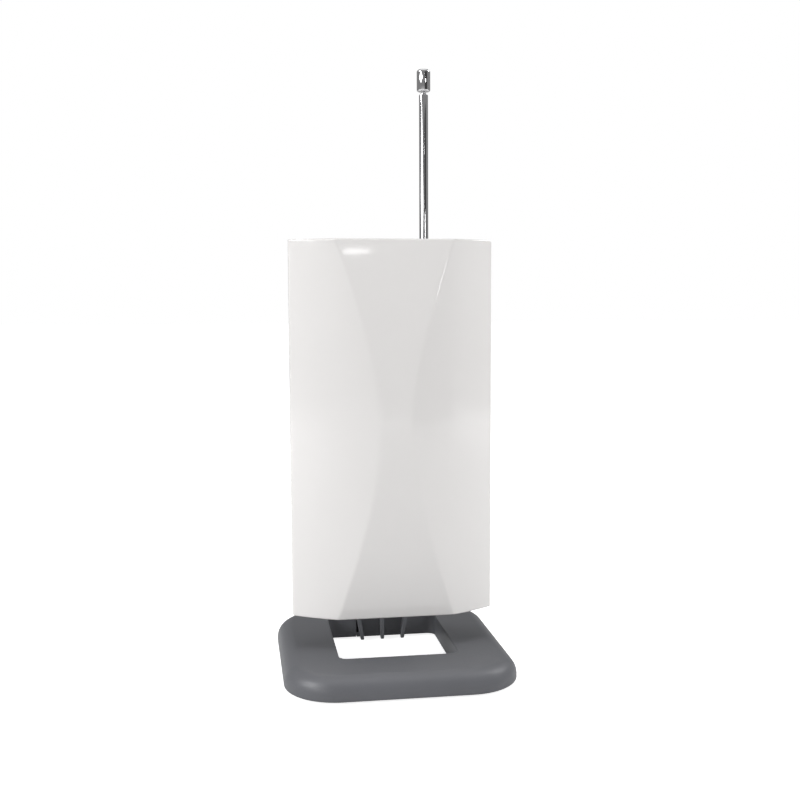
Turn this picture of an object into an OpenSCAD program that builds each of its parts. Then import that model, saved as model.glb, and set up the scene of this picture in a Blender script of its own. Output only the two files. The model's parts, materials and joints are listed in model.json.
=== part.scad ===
// Indoor television antenna: a white faceted panel carried by a neck on an open base frame,
// with one telescopic rod that swivels and folds behind the panel.
// Millimetres, +Z up, +Y towards the back. The origin is on the floor under the base's centre.

/* [Panel] */
// Width of the panel
panel_w = 124; // [104:1:150]
// Height of the panel
panel_h = 228.6; // [190:0.1:275]
// Height of the panel's lower edge above the floor
panel_z = 34.1; // [30:0.1:50]
// Place of the panel's foremost point, counted back from the base's centre
panel_front_y = -33.2; // [-40:0.1:-28]
// Half width of the centre facet at its waist
waist_half = 10; // [6:0.1:16]
// Depth by which the centre facet falls back at its top and bottom
facet_sag = 8.2; // [4:0.1:12]
// Radius of each side wing, seen from above
wing_r = 145; // [120:1:200]
// Distance by which each wing's centre lies beyond the middle
wing_cross = 20.9; // [12:0.1:28]
// Straight band along the front cover's edge
edge_land = 2; // [1:0.1:4]
// Wall of the front and rear covers
cover_wall = 2.2; // [1.6:0.1:3]
// Depth of the rear cover behind the parting line
rear_depth = 6.5; // [5:0.1:9]
// Chamfer around the rear cover's back
rear_chamfer = 4; // [2:0.1:5]
// Distance of the cover screws from the panel's edges
cover_screw_inset = 13; // [11:0.5:18]

/* [Rear housing] */
// Width of the housing for the circuit
housing_w = 92; // [84:1:100]
// Height of the housing
housing_h = 120; // [110:1:130]
// Height of the housing's underside above the panel's lower edge
housing_lift = 40; // [36:0.5:48]
// Depth of the housing behind the rear cover
housing_depth = 26.2; // [24:0.1:30]
// Radius of the housing's upright edges
housing_corner_r = 7; // [4:0.5:9]
// Width of the flange at each side of the housing
flange_w = 8; // [7.5:0.1:9]
// Thickness of the flanges
flange_t = 2.4; // [2:0.1:3]

/* [Base] */
// Width of the base frame
base_w = 139; // [120:1:170]
// Depth of the base frame
base_d = 150; // [126:1:182]
// Height of the base frame's top above the floor
base_h = 14.5; // [13:0.1:18]
// Radius of the base frame's outer corners, seen from above
base_corner_r = 32; // [26:0.5:38]
// Radius of the outer top edge
base_edge_r = 10; // [8:0.5:11]
// Radius of the outer bottom edge
base_lower_r = 1.6; // [1:0.1:2.2]
// Width of the frame in front of the opening
front_rim = 37.3; // [32:0.1:44]
// Width of the frame at each side of the opening
side_rim = 33.5; // [30:0.1:40]
// Width of the frame behind the opening
rear_rim = 29.2; // [27:0.1:36]
// Radius of the opening's corners
opening_corner_r = 5; // [3:0.5:8]
// Wall of the moulded base frame
base_wall = 2.6; // [2.3:0.1:3]
// Thickness of the steel plate under the base
plate_t = 2; // [1.2:0.1:2.5]
// Diameter of the rubber feet
foot_d = 12; // [9:0.5:14]
// Height by which the feet stand below the base frame
foot_gap = 1.2; // [0.8:0.1:2]

/* [Neck] */
// Width of the neck's upper part
neck_w = 40; // [34:0.5:46]
// Width that the neck's edges would reach at the floor
neck_foot_w = 28.8; // [26:0.1:33]
// Angle by which each edge of the neck's foot spreads upwards
neck_flare = 9; // [5:0.5:14]
// Thickness of the neck
neck_t = 12; // [10:0.5:13]
// Radius of the neck's bends, along its middle
neck_bend_r = 24; // [22:0.5:27]
// Angle by which the neck leans forward between its bends
neck_lean = 60; // [50:1:65]
// Length of the neck's head inside the housing
neck_head = 32; // [28:0.5:36]
// Gap between the neck's head and the rear cover
neck_gap = 7.2; // [6.5:0.1:9]
// Thickness of each rib on the neck
rib_t = 2.4; // [1.6:0.1:3]
// Height by which the ribs stand out of the neck
rib_proud = 6.4; // [4:0.1:7]

/* [Telescopic rod] */
// Diameter of the outer tube
rod_d = 5.6; // [5.2:0.1:7]
// Difference in diameter from one tube to the next
rod_step = 0.9; // [0.88:0.01:1.1]
// Wall of the tubes
rod_wall = 0.3; // [0.25:0.01:0.35]
// Length of the outer tube
rod_tube_l = 146.4; // [120:0.1:170]
// Place of the rod to the side of the middle
rod_x = 24.5; // [20:0.5:28]
// Distance of the rod from the housing's outer back face
rod_inset = 9; // [8.5:0.1:10]
// Diameter of the tip cap
cap_d = 8.4; // [7:0.1:10]
// Height of the tip cap
cap_h = 13.4; // [10:0.1:16]
// Diameter of the fold pin
fold_pin_d = 2.5; // [2:0.1:3]
// Thickness of the rod's flat root between the fork's ears
root_t = 4; // [3:0.1:4.5]
// Diameter of the swivel's shank
swivel_d = 6; // [5:0.1:6.5]

/* [Fits] */
// Gap between parts that are assembled loosely
loose_fit = 0.15; // [0.1:0.01:0.25]
// Radial gap of a shaft, tube or pin that moves in its bore
running_fit = 0.05; // [0.03:0.01:0.09]

/* [Hidden] */
$fn = 96;
eps = 0.01;

// Panel: the two wings and the centre facet, counted from its foremost point
wing_back = sqrt(pow(wing_r, 2) - pow(waist_half + wing_cross, 2));
side_y = wing_back - sqrt(pow(wing_r, 2) - pow(panel_w / 2 + wing_cross, 2));
facet_r = (pow(panel_h / 2, 2) + pow(facet_sag, 2)) / (2 * facet_sag);
part_y = side_y + edge_land;
back_y = part_y + rear_depth;
mid_z = panel_z + panel_h / 2;
rear_face_y = panel_front_y + back_y;

// Housing on the rear cover
housing_z = panel_z + housing_lift;
housing_top = housing_z + housing_h;
housing_back = rear_face_y + housing_depth;
housing_inner = housing_back - cover_wall;
housing_screw_x = housing_w / 2 + flange_w / 2;
housing_screw_z = [housing_z + 18, housing_top - 18];

// Base frame
opening_w = base_w - 2 * side_rim;
opening_d = base_d - front_rim - rear_rim;
opening_y = (front_rim - rear_rim) / 2;
opening_back = base_d / 2 - rear_rim;
shell_h = base_h - foot_gap;
plate_fit = 0.3;
plate_z = foot_gap + 0.6;
plate_top = plate_z + plate_t;
boss_d = 8;
plate_screw_x = base_w / 2 - side_rim / 2;
plate_screw_y = base_d / 2 - base_corner_r;
foot_x = base_w / 2 - 21;
foot_y = base_d / 2 - 21;

// Neck: an upright foot, a bend forwards, a bend back up and an upright head
neck_foot_y = opening_back + neck_t / 2 - 0.8;
neck_head_y = rear_face_y + neck_gap + neck_t / 2;
neck_reach = neck_foot_y - neck_head_y;
neck_slope_l = (neck_reach - 2 * neck_bend_r * (1 - cos(neck_lean))) / sin(neck_lean);
neck_rise = 2 * neck_bend_r * sin(neck_lean) + neck_slope_l * cos(neck_lean);
neck_head_z = housing_z - 1;
neck_bend_z = neck_head_z - neck_rise;
neck_screw_x = 8;
neck_steps = 12;
flare_z = (neck_w - neck_foot_w) / 2 / tan(neck_flare);
neck_mouth_w = neck_foot_w + 2 * base_h * tan(neck_flare);
neck_head_screw_z = housing_z + neck_head / 2;

// Screws: the thread is drawn as a plain shank, and its pilot hole is as wide
screw_d = 3;
screw_head_d = 5.6;
screw_head_h = 1.9;
flat_head_h = 1.1;
screw_l = 7;
plate_screw_l = 8;
neck_screw_l = 12;
screw_pilot = screw_d + 0.04;
screw_hole = screw_d + 0.4;
screw_recess = screw_head_d + 0.8;
cover_screw_x = panel_w / 2 - cover_screw_inset;
cover_screw_z = [panel_z + cover_screw_inset, panel_z + panel_h - cover_screw_inset];
pillar_d = 7;
recess_depth = 2.6;

// Circuit board and what sits on it
board_w = 76;
board_h = 72;
board_t = 1.6;
board_z = housing_z + neck_head + 3;
board_front = housing_inner - 13.8;
board_back = board_front + board_t;
board_screw_x = board_w / 2 - 5;
board_screw_z = [board_z + 5, board_z + board_h - 5];
can_w = 40;
can_h = 26;
can_depth = 6;
can_z = board_z + 16;
can_wall = 0.5;
core_z = board_z + board_h - 14;

// Sheet-metal receiving element in front of the board
element_y = panel_front_y + part_y - 3.4;
element_t = 0.8;
element_w = panel_w - 40;
element_h = panel_h - 76;
element_z = panel_z + 52;
element_strip = 11;
element_stake_d = 3;
element_leg_x = 5;
element_feed_z = core_z;
feed_window = [24, 16];

// Coaxial socket through the housing's back
socket_x = -27;
socket_z = board_z + 20;
socket_d = 9.5;
socket_body = 12;
socket_bore = 7;
socket_floor = 4;
socket_out = 10.6;
socket_washer_t = 0.5;
socket_nut_t = 2.4;
socket_nut_af = 12.7;
socket_groove_d = 8.7;
socket_groove_l = 0.8;
socket_groove_y = housing_back + socket_washer_t + socket_nut_t;
socket_l = housing_back + socket_out - board_back;

// Swivel and fold joint
rod_y = housing_back - rod_inset;
bush_d = 10;
bush_flange_d = 14;
bush_flange_t = 1;
post_flange_t = 1.2;
post_flange_z = housing_top + bush_flange_t + running_fit;
ear_t = 2.4;
ear_side_gap = 0.1;
fold_z = post_flange_z + post_flange_t + 5.2;
root_r = 4;
tag_t = 0.6;
bush_bottom = housing_top - cover_wall - 2.4;
shank_bottom = bush_bottom - tag_t - running_fit;
washer_t = 1;
swivel_screw_head = 7.4;

// Rod: five sections, one inside the next, each with a collar at its foot
SECTIONS = 5;
tube_z = fold_z + root_r + 1.6;
plug_l = 6;
nest_z = tube_z + plug_l + 0.6;
lip_l = 1.2;
collar_l = 8;
top_step = 0.5;
tube_top = tube_z + rod_tube_l;
cap_z = tube_top + (SECTIONS - 2) * top_step + 0.6;

PANEL_WHITE = [0.93, 0.92, 0.91];
BASE_GREY = [0.44, 0.45, 0.47];
STEEL = [0.75, 0.76, 0.78];
BRASS = [0.80, 0.66, 0.36];
BLACK = [0.12, 0.12, 0.13];

// Sizes of the rod's sections, counted from 1 at the outside
function section_d(i) = rod_d - (i - 1) * rod_step;
function section_bore(i) = section_d(i) - 2 * rod_wall;
function section_top(i) = tube_top + (i - 1) * top_step;
function collar_d(i) = section_bore(i - 1) - 2 * running_fit;

// Both signs, for what stands at each side of the middle
SIDES = [-1, 1];

// Rounded rectangle centred on the origin
module rounded_rect(w, d, r) {
    square([w - 2 * r, d], center = true);
    square([w, d - 2 * r], center = true);
    for (sx = SIDES, sy = SIDES)
        translate([sx * (w / 2 - r), sy * (d / 2 - r)])
            circle(r);
}

// Upright half section of a slab, rounded outside at its top and bottom
module edge_section(reach, h, top_r, low_r) {
    square([reach - top_r, h]);
    translate([0, low_r])
        square([reach, h - top_r - low_r]);
    square([reach - low_r, h - top_r]);
    intersection() {
        square([reach, h]);
        union() {
            translate([reach - top_r, h - top_r])
                circle(top_r);
            translate([reach - low_r, low_r])
                circle(low_r);
        }
    }
}

// Slab with rounded corners whose outer edge is rounded at its top and bottom
module rounded_slab(w, d, h, corner_r, top_r, low_r) {
    straight_w = w - 2 * corner_r;
    straight_d = d - 2 * corner_r;
    translate([-straight_w / 2, -straight_d / 2, 0])
        cube([straight_w, straight_d, h]);
    for (turn = [0, 180]) {
        rotate(turn)
            translate([straight_w / 2, straight_d / 2, 0])
                rotate([90, 0, 0])
                    linear_extrude(straight_d)
                        edge_section(corner_r, h, top_r, low_r);
        rotate(turn)
            translate([-straight_w / 2, straight_d / 2, 0])
                rotate([90, 0, 90])
                    linear_extrude(straight_w)
                        edge_section(corner_r, h, top_r, low_r);
    }
    for (turn = [0, 180], flip = [0, 1])
        rotate(turn)
            mirror([flip, 0, 0])
                translate([straight_w / 2, straight_d / 2, 0])
                    rotate_extrude(angle = 90)
                        edge_section(corner_r, h, top_r, low_r);
}

// Pan-head screw: its seat at the origin, its shank down and a cross recess on top
module pan_screw(length, d = screw_d, head_d = screw_head_d, head_h = screw_head_h) {
    difference() {
        union() {
            translate([0, 0, -length])
                cylinder(h = length + eps, d = d);
            cylinder(h = head_h, d1 = head_d, d2 = head_d * 0.82);
        }
        for (turn = [0, 90])
            rotate(turn)
                translate([-head_d * 0.3, -head_d * 0.07, head_h * 0.4])
                    cube([head_d * 0.6, head_d * 0.14, head_h]);
    }
}

// Solid of the panel's front form, set in by an even distance and cut off at a depth
module panel_form(inset, depth) {
    r = wing_r - inset;
    half_w = panel_w / 2 - inset;
    translate([0, panel_front_y, mid_z])
        intersection() {
            translate([0, 0, inset - panel_h / 2])
                linear_extrude(panel_h - 2 * inset)
                    intersection() {
                        translate([-wing_cross, wing_back])
                            circle(r, $fn = 180);
                        translate([wing_cross, wing_back])
                            circle(r, $fn = 180);
                        translate([-half_w, -1])
                            square([2 * half_w, depth + 1]);
                    }
            translate([0, facet_r, 0])
                rotate([0, 90, 0])
                    cylinder(h = panel_w + 2, r = facet_r - inset, center = true, $fn = 360);
        }
}

// Places of the four cover screws, with +Z turned to point out of the back
module at_cover_screws(y) {
    for (side = SIDES, z = cover_screw_z)
        translate([side * cover_screw_x, y, z])
            rotate([-90, 0, 0])
                children();
}

// Places of the four housing screws, with +Z turned to point out of the back
module at_housing_screws(y) {
    for (side = SIDES, z = housing_screw_z)
        translate([side * housing_screw_x, y, z])
            rotate([-90, 0, 0])
                children();
}

// Places of the four board screws, with +Z turned to point to the front
module at_board_screws(y) {
    for (side = SIDES, z = board_screw_z)
        translate([side * board_screw_x, y, z])
            rotate([90, 0, 0])
                children();
}

// Places of the four stakes that carry the receiving element
module at_stakes(y) {
    for (side = SIDES, z = [element_z + element_strip / 2, element_z + element_h - element_strip / 2])
        translate([side * (element_w / 2 - element_strip / 2), y, z])
            rotate([-90, 0, 0])
                children();
}

// Places of the four corner screws in the base
module at_plate_screws(z) {
    for (sx = SIDES, sy = SIDES)
        translate([sx * plate_screw_x, sy * plate_screw_y, z])
            children();
}

// Places of the four feet
module at_feet(z) {
    for (sx = SIDES, sy = SIDES)
        translate([sx * foot_x, sy * foot_y, z])
            children();
}

// Outline of the base's opening, grown by a distance
module opening_outline(grow) {
    translate([0, opening_y])
        rounded_rect(opening_w + 2 * grow, opening_d + 2 * grow, opening_corner_r + grow);
}

// Moulded base frame: a shell open below, with its opening, screw bosses and the neck's socket
module base_frame() {
    socket_w = neck_mouth_w + 2 * loose_fit;
    socket_d = neck_t + 2 * loose_fit;
    socket_back = neck_foot_y + socket_d / 2;
    color(BASE_GREY)
        difference() {
            union() {
                difference() {
                    translate([0, 0, foot_gap])
                        rounded_slab(base_w, base_d, shell_h, base_corner_r, base_edge_r, base_lower_r);
                    translate([0, 0, foot_gap - 1])
                        rounded_slab(base_w - 2 * base_wall, base_d - 2 * base_wall,
                            shell_h + 1 - base_wall, base_corner_r - base_wall,
                            base_edge_r - base_wall, 0.5);
                }
                translate([0, 0, foot_gap])
                    linear_extrude(shell_h - base_wall + eps)
                        opening_outline(base_wall);
                at_plate_screws(plate_top)
                    cylinder(h = base_h - plate_top - base_wall + eps, d = boss_d);
                translate([-socket_w / 2 - base_wall, opening_back, plate_top])
                    cube([socket_w + 2 * base_wall, socket_back + base_wall - opening_back,
                        base_h - plate_top - base_wall + eps]);
            }
            translate([0, 0, -1])
                linear_extrude(base_h + 2)
                    opening_outline(0);
            translate([-socket_w / 2, neck_foot_y - socket_d / 2, -1])
                cube([socket_w, socket_d, base_h + 2]);
            at_plate_screws(plate_top - 1)
                cylinder(h = base_h - plate_top - base_wall, d = screw_pilot);
            // Seat of the plate around the opening
            translate([0, 0, -1])
                linear_extrude(plate_top + 1)
                    difference() {
                        rounded_rect(base_w - 2 * base_wall, base_d - 2 * base_wall, base_corner_r - base_wall);
                        opening_outline(base_wall - 1);
                    }
        }
}

// Steel plate that closes the base from below and weighs it down
module base_plate() {
    color(STEEL)
        difference() {
            translate([0, 0, plate_z])
                linear_extrude(plate_t)
                    difference() {
                        rounded_rect(base_w - 2 * (base_wall + plate_fit), base_d - 2 * (base_wall + plate_fit),
                            base_corner_r - base_wall - plate_fit);
                        opening_outline(base_wall - 1 + plate_fit);
                    }
            at_plate_screws(0)
                cylinder(h = base_h, d = screw_hole);
            for (side = SIDES)
                translate([side * neck_screw_x, neck_foot_y, 0])
                    cylinder(h = base_h, d = screw_hole);
        }
}

// Four rubber feet stuck on the plate
module rubber_feet() {
    color(BLACK)
        at_feet(0)
            rotate_extrude()
                polygon([[0, 0], [foot_d / 2 - 0.5, 0], [foot_d / 2, 0.5], [foot_d / 2, plate_z], [0, plate_z]]);
}

// Screws that hold the plate to the base frame's bosses
module plate_screws() {
    color(STEEL)
        at_plate_screws(plate_z)
            mirror([0, 0, 1])
                pan_screw(plate_screw_l, head_h = flat_head_h);
}

// Middle line of the neck seen from the side, as [y, z, lean], from its foot to its head
function neck_line() = concat(
    [[neck_foot_y, plate_top, 0]],
    [for (k = [0:neck_steps])
        let (a = neck_lean * k / neck_steps)
            [neck_foot_y - neck_bend_r * (1 - cos(a)), neck_bend_z + neck_bend_r * sin(a), a]],
    [for (k = [neck_steps:-1:0])
        let (a = neck_lean * k / neck_steps)
            [neck_head_y + neck_bend_r * (1 - cos(a)), neck_head_z - neck_bend_r * sin(a), a]],
    [[neck_head_y, housing_z + neck_head, 0]]);

// The same line shifted to the neck's lower side by a distance
function neck_side(line, shift) = [for (p = line) [p[0] - shift * cos(p[2]), p[1] - shift * sin(p[2])]];

// A list the other way round
function reversed(list) = [for (i = [len(list) - 1:-1:0]) list[i]];

// Upright strip seen from the front: it spreads from the floor up to the flare's top
module flared_strip(x_floor, x_top, half_w) {
    polygon([[x_floor - half_w, 0], [x_floor + half_w, 0], [x_top + half_w, flare_z],
        [x_top + half_w, housing_z + neck_head + 1], [x_top - half_w, housing_z + neck_head + 1],
        [x_top - half_w, flare_z]]);
}

// Body of the neck: its side profile, kept within its flared front outline
module neck_body() {
    line = neck_line();
    intersection() {
        rotate([90, 0, 90])
            linear_extrude(neck_w + 2, center = true)
                polygon(concat(neck_side(line, neck_t / 2), reversed(neck_side(line, -neck_t / 2))));
        rotate([90, 0, 0])
            linear_extrude(2 * base_d, center = true)
                polygon([[-neck_foot_w / 2, 0], [neck_foot_w / 2, 0], [neck_w / 2, flare_z],
                    [neck_w / 2, housing_z + neck_head + 1], [-neck_w / 2, housing_z + neck_head + 1],
                    [-neck_w / 2, flare_z]]);
    }
}

// Three ribs under the neck: they spread with it, run out along its slope and end in a nose at the floor
module neck_ribs() {
    line = neck_line();
    bend = [for (k = [1:neck_steps + 1]) line[k]];
    slope_end = line[neck_steps + 2];
    nose_y = neck_foot_y - neck_t / 2;
    intersection() {
        rotate([90, 0, 90])
            linear_extrude(neck_w + 2, center = true)
                polygon(concat(
                    [[nose_y + 1, plate_top + 1.2], [nose_y - rib_proud + 3, plate_top + 1.2],
                        [nose_y - rib_proud + 0.8, 0.8], [nose_y - rib_proud, 2.4]],
                    neck_side(bend, neck_t / 2 + rib_proud),
                    neck_side([slope_end], neck_t / 2),
                    reversed(neck_side(bend, neck_t / 2 - 1))));
        rotate([90, 0, 0])
            linear_extrude(2 * base_d, center = true)
                for (i = [-1, 0, 1])
                    flared_strip(i * (neck_foot_w - rib_t) / 2, i * (neck_w - rib_t) / 2, rib_t / 2);
    }
}

// Neck: an upright foot, a bend forwards, a slope, a bend back up and a head, with three ribs below
module neck() {
    color(BASE_GREY)
        difference() {
            union() {
                neck_body();
                neck_ribs();
            }
            for (side = SIDES) {
                translate([side * neck_screw_x, neck_foot_y, 0])
                    cylinder(h = 15, d = screw_pilot);
                translate([side * neck_screw_x, neck_head_y, neck_head_screw_z])
                    rotate([-90, 0, 0])
                        cylinder(h = neck_t, d = screw_pilot);
            }
        }
}

// Screws up through the plate into the neck's foot
module neck_foot_screws() {
    color(STEEL)
        for (side = SIDES)
            translate([side * neck_screw_x, neck_foot_y, plate_z])
                mirror([0, 0, 1])
                    pan_screw(neck_screw_l, head_h = flat_head_h);
}

// Screws through the housing's back into the neck's head
module neck_head_screws() {
    color(STEEL)
        for (side = SIDES)
            translate([side * neck_screw_x, housing_back - recess_depth, neck_head_screw_z])
                rotate([-90, 0, 0])
                    pan_screw(plate_screw_l);
}

// Front cover: an even shell over the panel form, with screw pillars and stakes for the element
module front_cover() {
    color(PANEL_WHITE)
        difference() {
            union() {
                difference() {
                    panel_form(0, part_y);
                    panel_form(cover_wall, part_y + 1);
                }
                intersection() {
                    panel_form(cover_wall / 2, part_y);
                    union() {
                        at_cover_screws(panel_front_y)
                            cylinder(h = part_y, d = pillar_d);
                        at_stakes(panel_front_y)
                            cylinder(h = element_y - panel_front_y, d = 6);
                        at_stakes(panel_front_y)
                            cylinder(h = element_y - panel_front_y + element_t + 0.8, d = element_stake_d);
                    }
                }
            }
            at_cover_screws(panel_front_y + part_y - 5)
                cylinder(h = 6, d = screw_pilot);
        }
}

// Block with chamfered back edges, from the parting line to a depth
module rear_form(inset) {
    c = rear_chamfer;
    half_w = panel_w / 2 - inset;
    half_h = panel_h / 2 - inset;
    depth = rear_depth - inset;
    translate([0, panel_front_y + part_y, mid_z])
        intersection() {
            translate([0, 0, -half_h])
                linear_extrude(2 * half_h)
                    polygon([[-half_w, 0], [half_w, 0], [half_w, depth - c], [half_w - c, depth],
                        [-half_w + c, depth], [-half_w, depth - c]]);
            rotate([90, 0, 90])
                linear_extrude(2 * half_w, center = true)
                    polygon([[0, -half_h], [depth - c, -half_h], [depth, -half_h + c],
                        [depth, half_h - c], [depth - c, half_h], [0, half_h]]);
        }
}

// Flat rear cover with pillars for its screws, bosses for the housing's and a window for the feed
module rear_cover() {
    color(PANEL_WHITE)
        difference() {
            union() {
                difference() {
                    rear_form(0);
                    translate([0, -eps, 0])
                        rear_form(cover_wall);
                }
                at_cover_screws(panel_front_y + part_y)
                    cylinder(h = rear_depth - 1, d = pillar_d);
                at_housing_screws(panel_front_y + part_y)
                    cylinder(h = rear_depth - 1, d = pillar_d);
            }
            at_cover_screws(panel_front_y)
                cylinder(h = back_y, d = screw_hole);
            at_cover_screws(rear_face_y - recess_depth)
                cylinder(h = recess_depth + 1, d = screw_recess);
            at_housing_screws(panel_front_y)
                cylinder(h = back_y + 1, d = screw_pilot);
            translate([-feed_window[0] / 2, panel_front_y + part_y, element_feed_z - feed_window[1] / 2])
                cube([feed_window[0], rear_depth + 1, feed_window[1]]);
        }
}

// Outline of the housing seen from above, from the rear cover back
module housing_outline(inset) {
    half_w = housing_w / 2 - inset;
    r = housing_corner_r - inset;
    back = housing_back - inset;
    front = rear_face_y - (inset > 0 ? 1 : 0);
    translate([-half_w, front])
        square([2 * half_w, back - r - front]);
    translate([-half_w + r, front])
        square([2 * (half_w - r), back - front]);
    for (side = SIDES)
        translate([side * (half_w - r), back - r])
            circle(r);
}

// Solid of the housing, set in by an even distance, with a chamfered lower back edge
module housing_form(inset) {
    front = rear_face_y - 2;
    chamfer = 8 - inset / 2;
    intersection() {
        translate([0, 0, housing_z + inset])
            linear_extrude(housing_h - 2 * inset)
                housing_outline(inset);
        rotate([90, 0, 90])
            linear_extrude(housing_w, center = true)
                polygon([[front, housing_z + inset],
                    [housing_back - inset - chamfer, housing_z + inset],
                    [housing_back - inset, housing_z + inset + chamfer],
                    [housing_back - inset, housing_top - inset],
                    [front, housing_top - inset]]);
    }
}

// Flanges at the housing's sides, through which it is screwed to the rear cover
module housing_flanges() {
    for (side = SIDES)
        translate([side * housing_screw_x, 0, (housing_z + housing_top) / 2])
            rotate([-90, 0, 0])
                translate([0, 0, rear_face_y])
                    linear_extrude(flange_t)
                        rounded_rect(flange_w + 2, housing_h - 12, 3);
}

// Housing for the circuit: a box open to the rear cover, with board posts, neck posts and a bush seat
module circuit_housing() {
    color(PANEL_WHITE)
        difference() {
            union() {
                difference() {
                    union() {
                        housing_form(0);
                        housing_flanges();
                    }
                    housing_form(cover_wall);
                }
                at_board_screws(housing_inner + eps)
                    cylinder(h = housing_inner - board_back + eps, d = 6);
                for (side = SIDES)
                    translate([side * neck_screw_x, neck_head_y + neck_t / 2, neck_head_screw_z])
                        rotate([-90, 0, 0])
                            cylinder(h = housing_back - neck_head_y - neck_t / 2 - 1, d = 8);
                translate([rod_x, rod_y, bush_bottom + 0.4])
                    cylinder(h = housing_top - bush_bottom - 1, d = bush_d + 3);
            }
            at_housing_screws(rear_face_y - 1)
                cylinder(h = flange_t + 2, d = screw_hole);
            at_board_screws(board_back + 8)
                cylinder(h = 9, d = screw_pilot);
            for (side = SIDES)
                translate([side * neck_screw_x, neck_head_y, neck_head_screw_z])
                    rotate([-90, 0, 0]) {
                        cylinder(h = housing_depth, d = screw_hole);
                        translate([0, 0, housing_back - neck_head_y - recess_depth])
                            cylinder(h = recess_depth + 1, d = screw_recess);
                    }
            // Way in for the neck's head
            translate([-neck_w / 2 - loose_fit, neck_head_y - neck_t / 2 - loose_fit, housing_z - 1])
                cube([neck_w + 2 * loose_fit, neck_t + 2 * loose_fit, neck_head + 2]);
            translate([rod_x, rod_y, housing_top - 20])
                cylinder(h = 21, d = bush_d);
            translate([socket_x, board_back, socket_z])
                rotate([-90, 0, 0])
                    cylinder(h = housing_depth, d = socket_d + 2 * loose_fit);
        }
}

// Screws that hold the housing to the rear cover
module housing_screws() {
    color(STEEL)
        at_housing_screws(rear_face_y + flange_t)
            pan_screw(screw_l);
}

// Screws that hold the rear cover to the front cover
module cover_screws() {
    color(STEEL)
        at_cover_screws(rear_face_y - recess_depth)
            pan_screw(screw_l);
}

// Receiving element: one stamped sheet with two windows, a feed gap and two legs to the board
module uhf_element() {
    strip = element_strip;
    window_w = element_w - 2 * strip;
    window_h = element_feed_z - element_z - 1.5 * strip;
    upper_z = element_feed_z + strip / 2;
    color(STEEL)
        difference() {
            union() {
                difference() {
                    translate([-element_w / 2, element_y, element_z])
                        cube([element_w, element_t, element_h]);
                    translate([-window_w / 2, element_y - 1, element_z + strip])
                        cube([window_w, 3, window_h]);
                    translate([-window_w / 2, element_y - 1, upper_z])
                        cube([window_w, 3, element_z + element_h - strip - upper_z]);
                    translate([-3, element_y - 1, element_feed_z - strip])
                        cube([6, 3, 2 * strip]);
                }
                for (side = SIDES)
                    translate([side * element_leg_x - element_t / 2 * (1 - side), element_y, element_feed_z - 2])
                        cube([element_t, board_front - element_y, 4]);
            }
            at_stakes(element_y - 1)
                cylinder(h = 3, d = element_stake_d + 2 * loose_fit);
        }
}

// Circuit board on the housing's posts
module signal_board() {
    color([0.10, 0.36, 0.20])
        difference() {
            translate([-board_w / 2, board_front, board_z])
                cube([board_w, board_t, board_h]);
            at_board_screws(board_back + 1)
                cylinder(h = board_t + 2, d = screw_hole);
        }
}

// Sheet-metal can over the amplifying circuit on the board's front
module shield_can() {
    color(STEEL)
        difference() {
            translate([-can_w / 2, board_front - can_depth, can_z])
                cube([can_w, can_depth, can_h]);
            translate([-can_w / 2 + can_wall, board_front - can_depth + can_wall, can_z + can_wall])
                cube([can_w - 2 * can_wall, can_depth, can_h - 2 * can_wall]);
            for (i = [-2:2])
                translate([i * 6, board_front - can_depth - 1, can_z + can_h / 2])
                    rotate([-90, 0, 0])
                        cylinder(h = 3, d = 2);
        }
}

// Ferrite core with two bores between the element's legs and the board
module balun_core() {
    half_gap = element_leg_x - 0.6;
    color(BLACK)
        difference() {
            translate([-half_gap, board_front - 6, core_z - 6])
                cube([2 * half_gap, 6, 12]);
            for (side = SIDES)
                translate([side * 2.1, board_front - 3, core_z - 7])
                    cylinder(h = 14, d = 2.4);
        }
}

// Screws that hold the board to its posts
module board_screws() {
    color(STEEL)
        at_board_screws(board_front)
            pan_screw(screw_l);
}

// Socket: a square body on the board and a barrel through the housing's back, grooved at the nut
module coax_socket() {
    color(STEEL)
        translate([socket_x, board_back, socket_z])
            rotate([-90, 0, 0])
                difference() {
                    union() {
                        translate([-socket_body / 2, -socket_body / 2, 0])
                            cube([socket_body, socket_body, housing_inner - board_back - eps]);
                        cylinder(h = socket_l, d = socket_d);
                    }
                    translate([0, 0, socket_floor])
                        cylinder(h = socket_l, d = socket_bore);
                    translate([0, 0, socket_groove_y - board_back])
                        difference() {
                            cylinder(h = socket_groove_l, d = socket_d + 1);
                            translate([0, 0, -1])
                                cylinder(h = socket_groove_l + 2, d = socket_groove_d);
                        }
                }
}

// Insulator in the socket's barrel, with the centre hole for the plug's wire
module socket_insulator() {
    depth = socket_l - socket_floor - 0.8;
    color(PANEL_WHITE)
        translate([socket_x, board_back + socket_floor, socket_z])
            rotate([-90, 0, 0])
                difference() {
                    cylinder(h = depth, d = socket_bore);
                    translate([0, 0, 3])
                        cylinder(h = depth, d = 1.2);
                }
}

// Washer under the socket's nut
module socket_washer() {
    color(STEEL)
        translate([socket_x, housing_back, socket_z])
            rotate([-90, 0, 0])
                difference() {
                    cylinder(h = socket_washer_t, d = socket_nut_af + 1.6);
                    translate([0, 0, -1])
                        cylinder(h = 3, d = socket_d + 2 * loose_fit);
                }
}

// Hexagonal nut that clamps the socket to the housing
module socket_nut() {
    color(STEEL)
        translate([socket_x, housing_back + socket_washer_t, socket_z])
            rotate([-90, 0, 0])
                difference() {
                    cylinder(h = socket_nut_t, d = socket_nut_af / cos(30), $fn = 6);
                    translate([0, 0, -1])
                        cylinder(h = 5, d = socket_d);
                }
}

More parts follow.
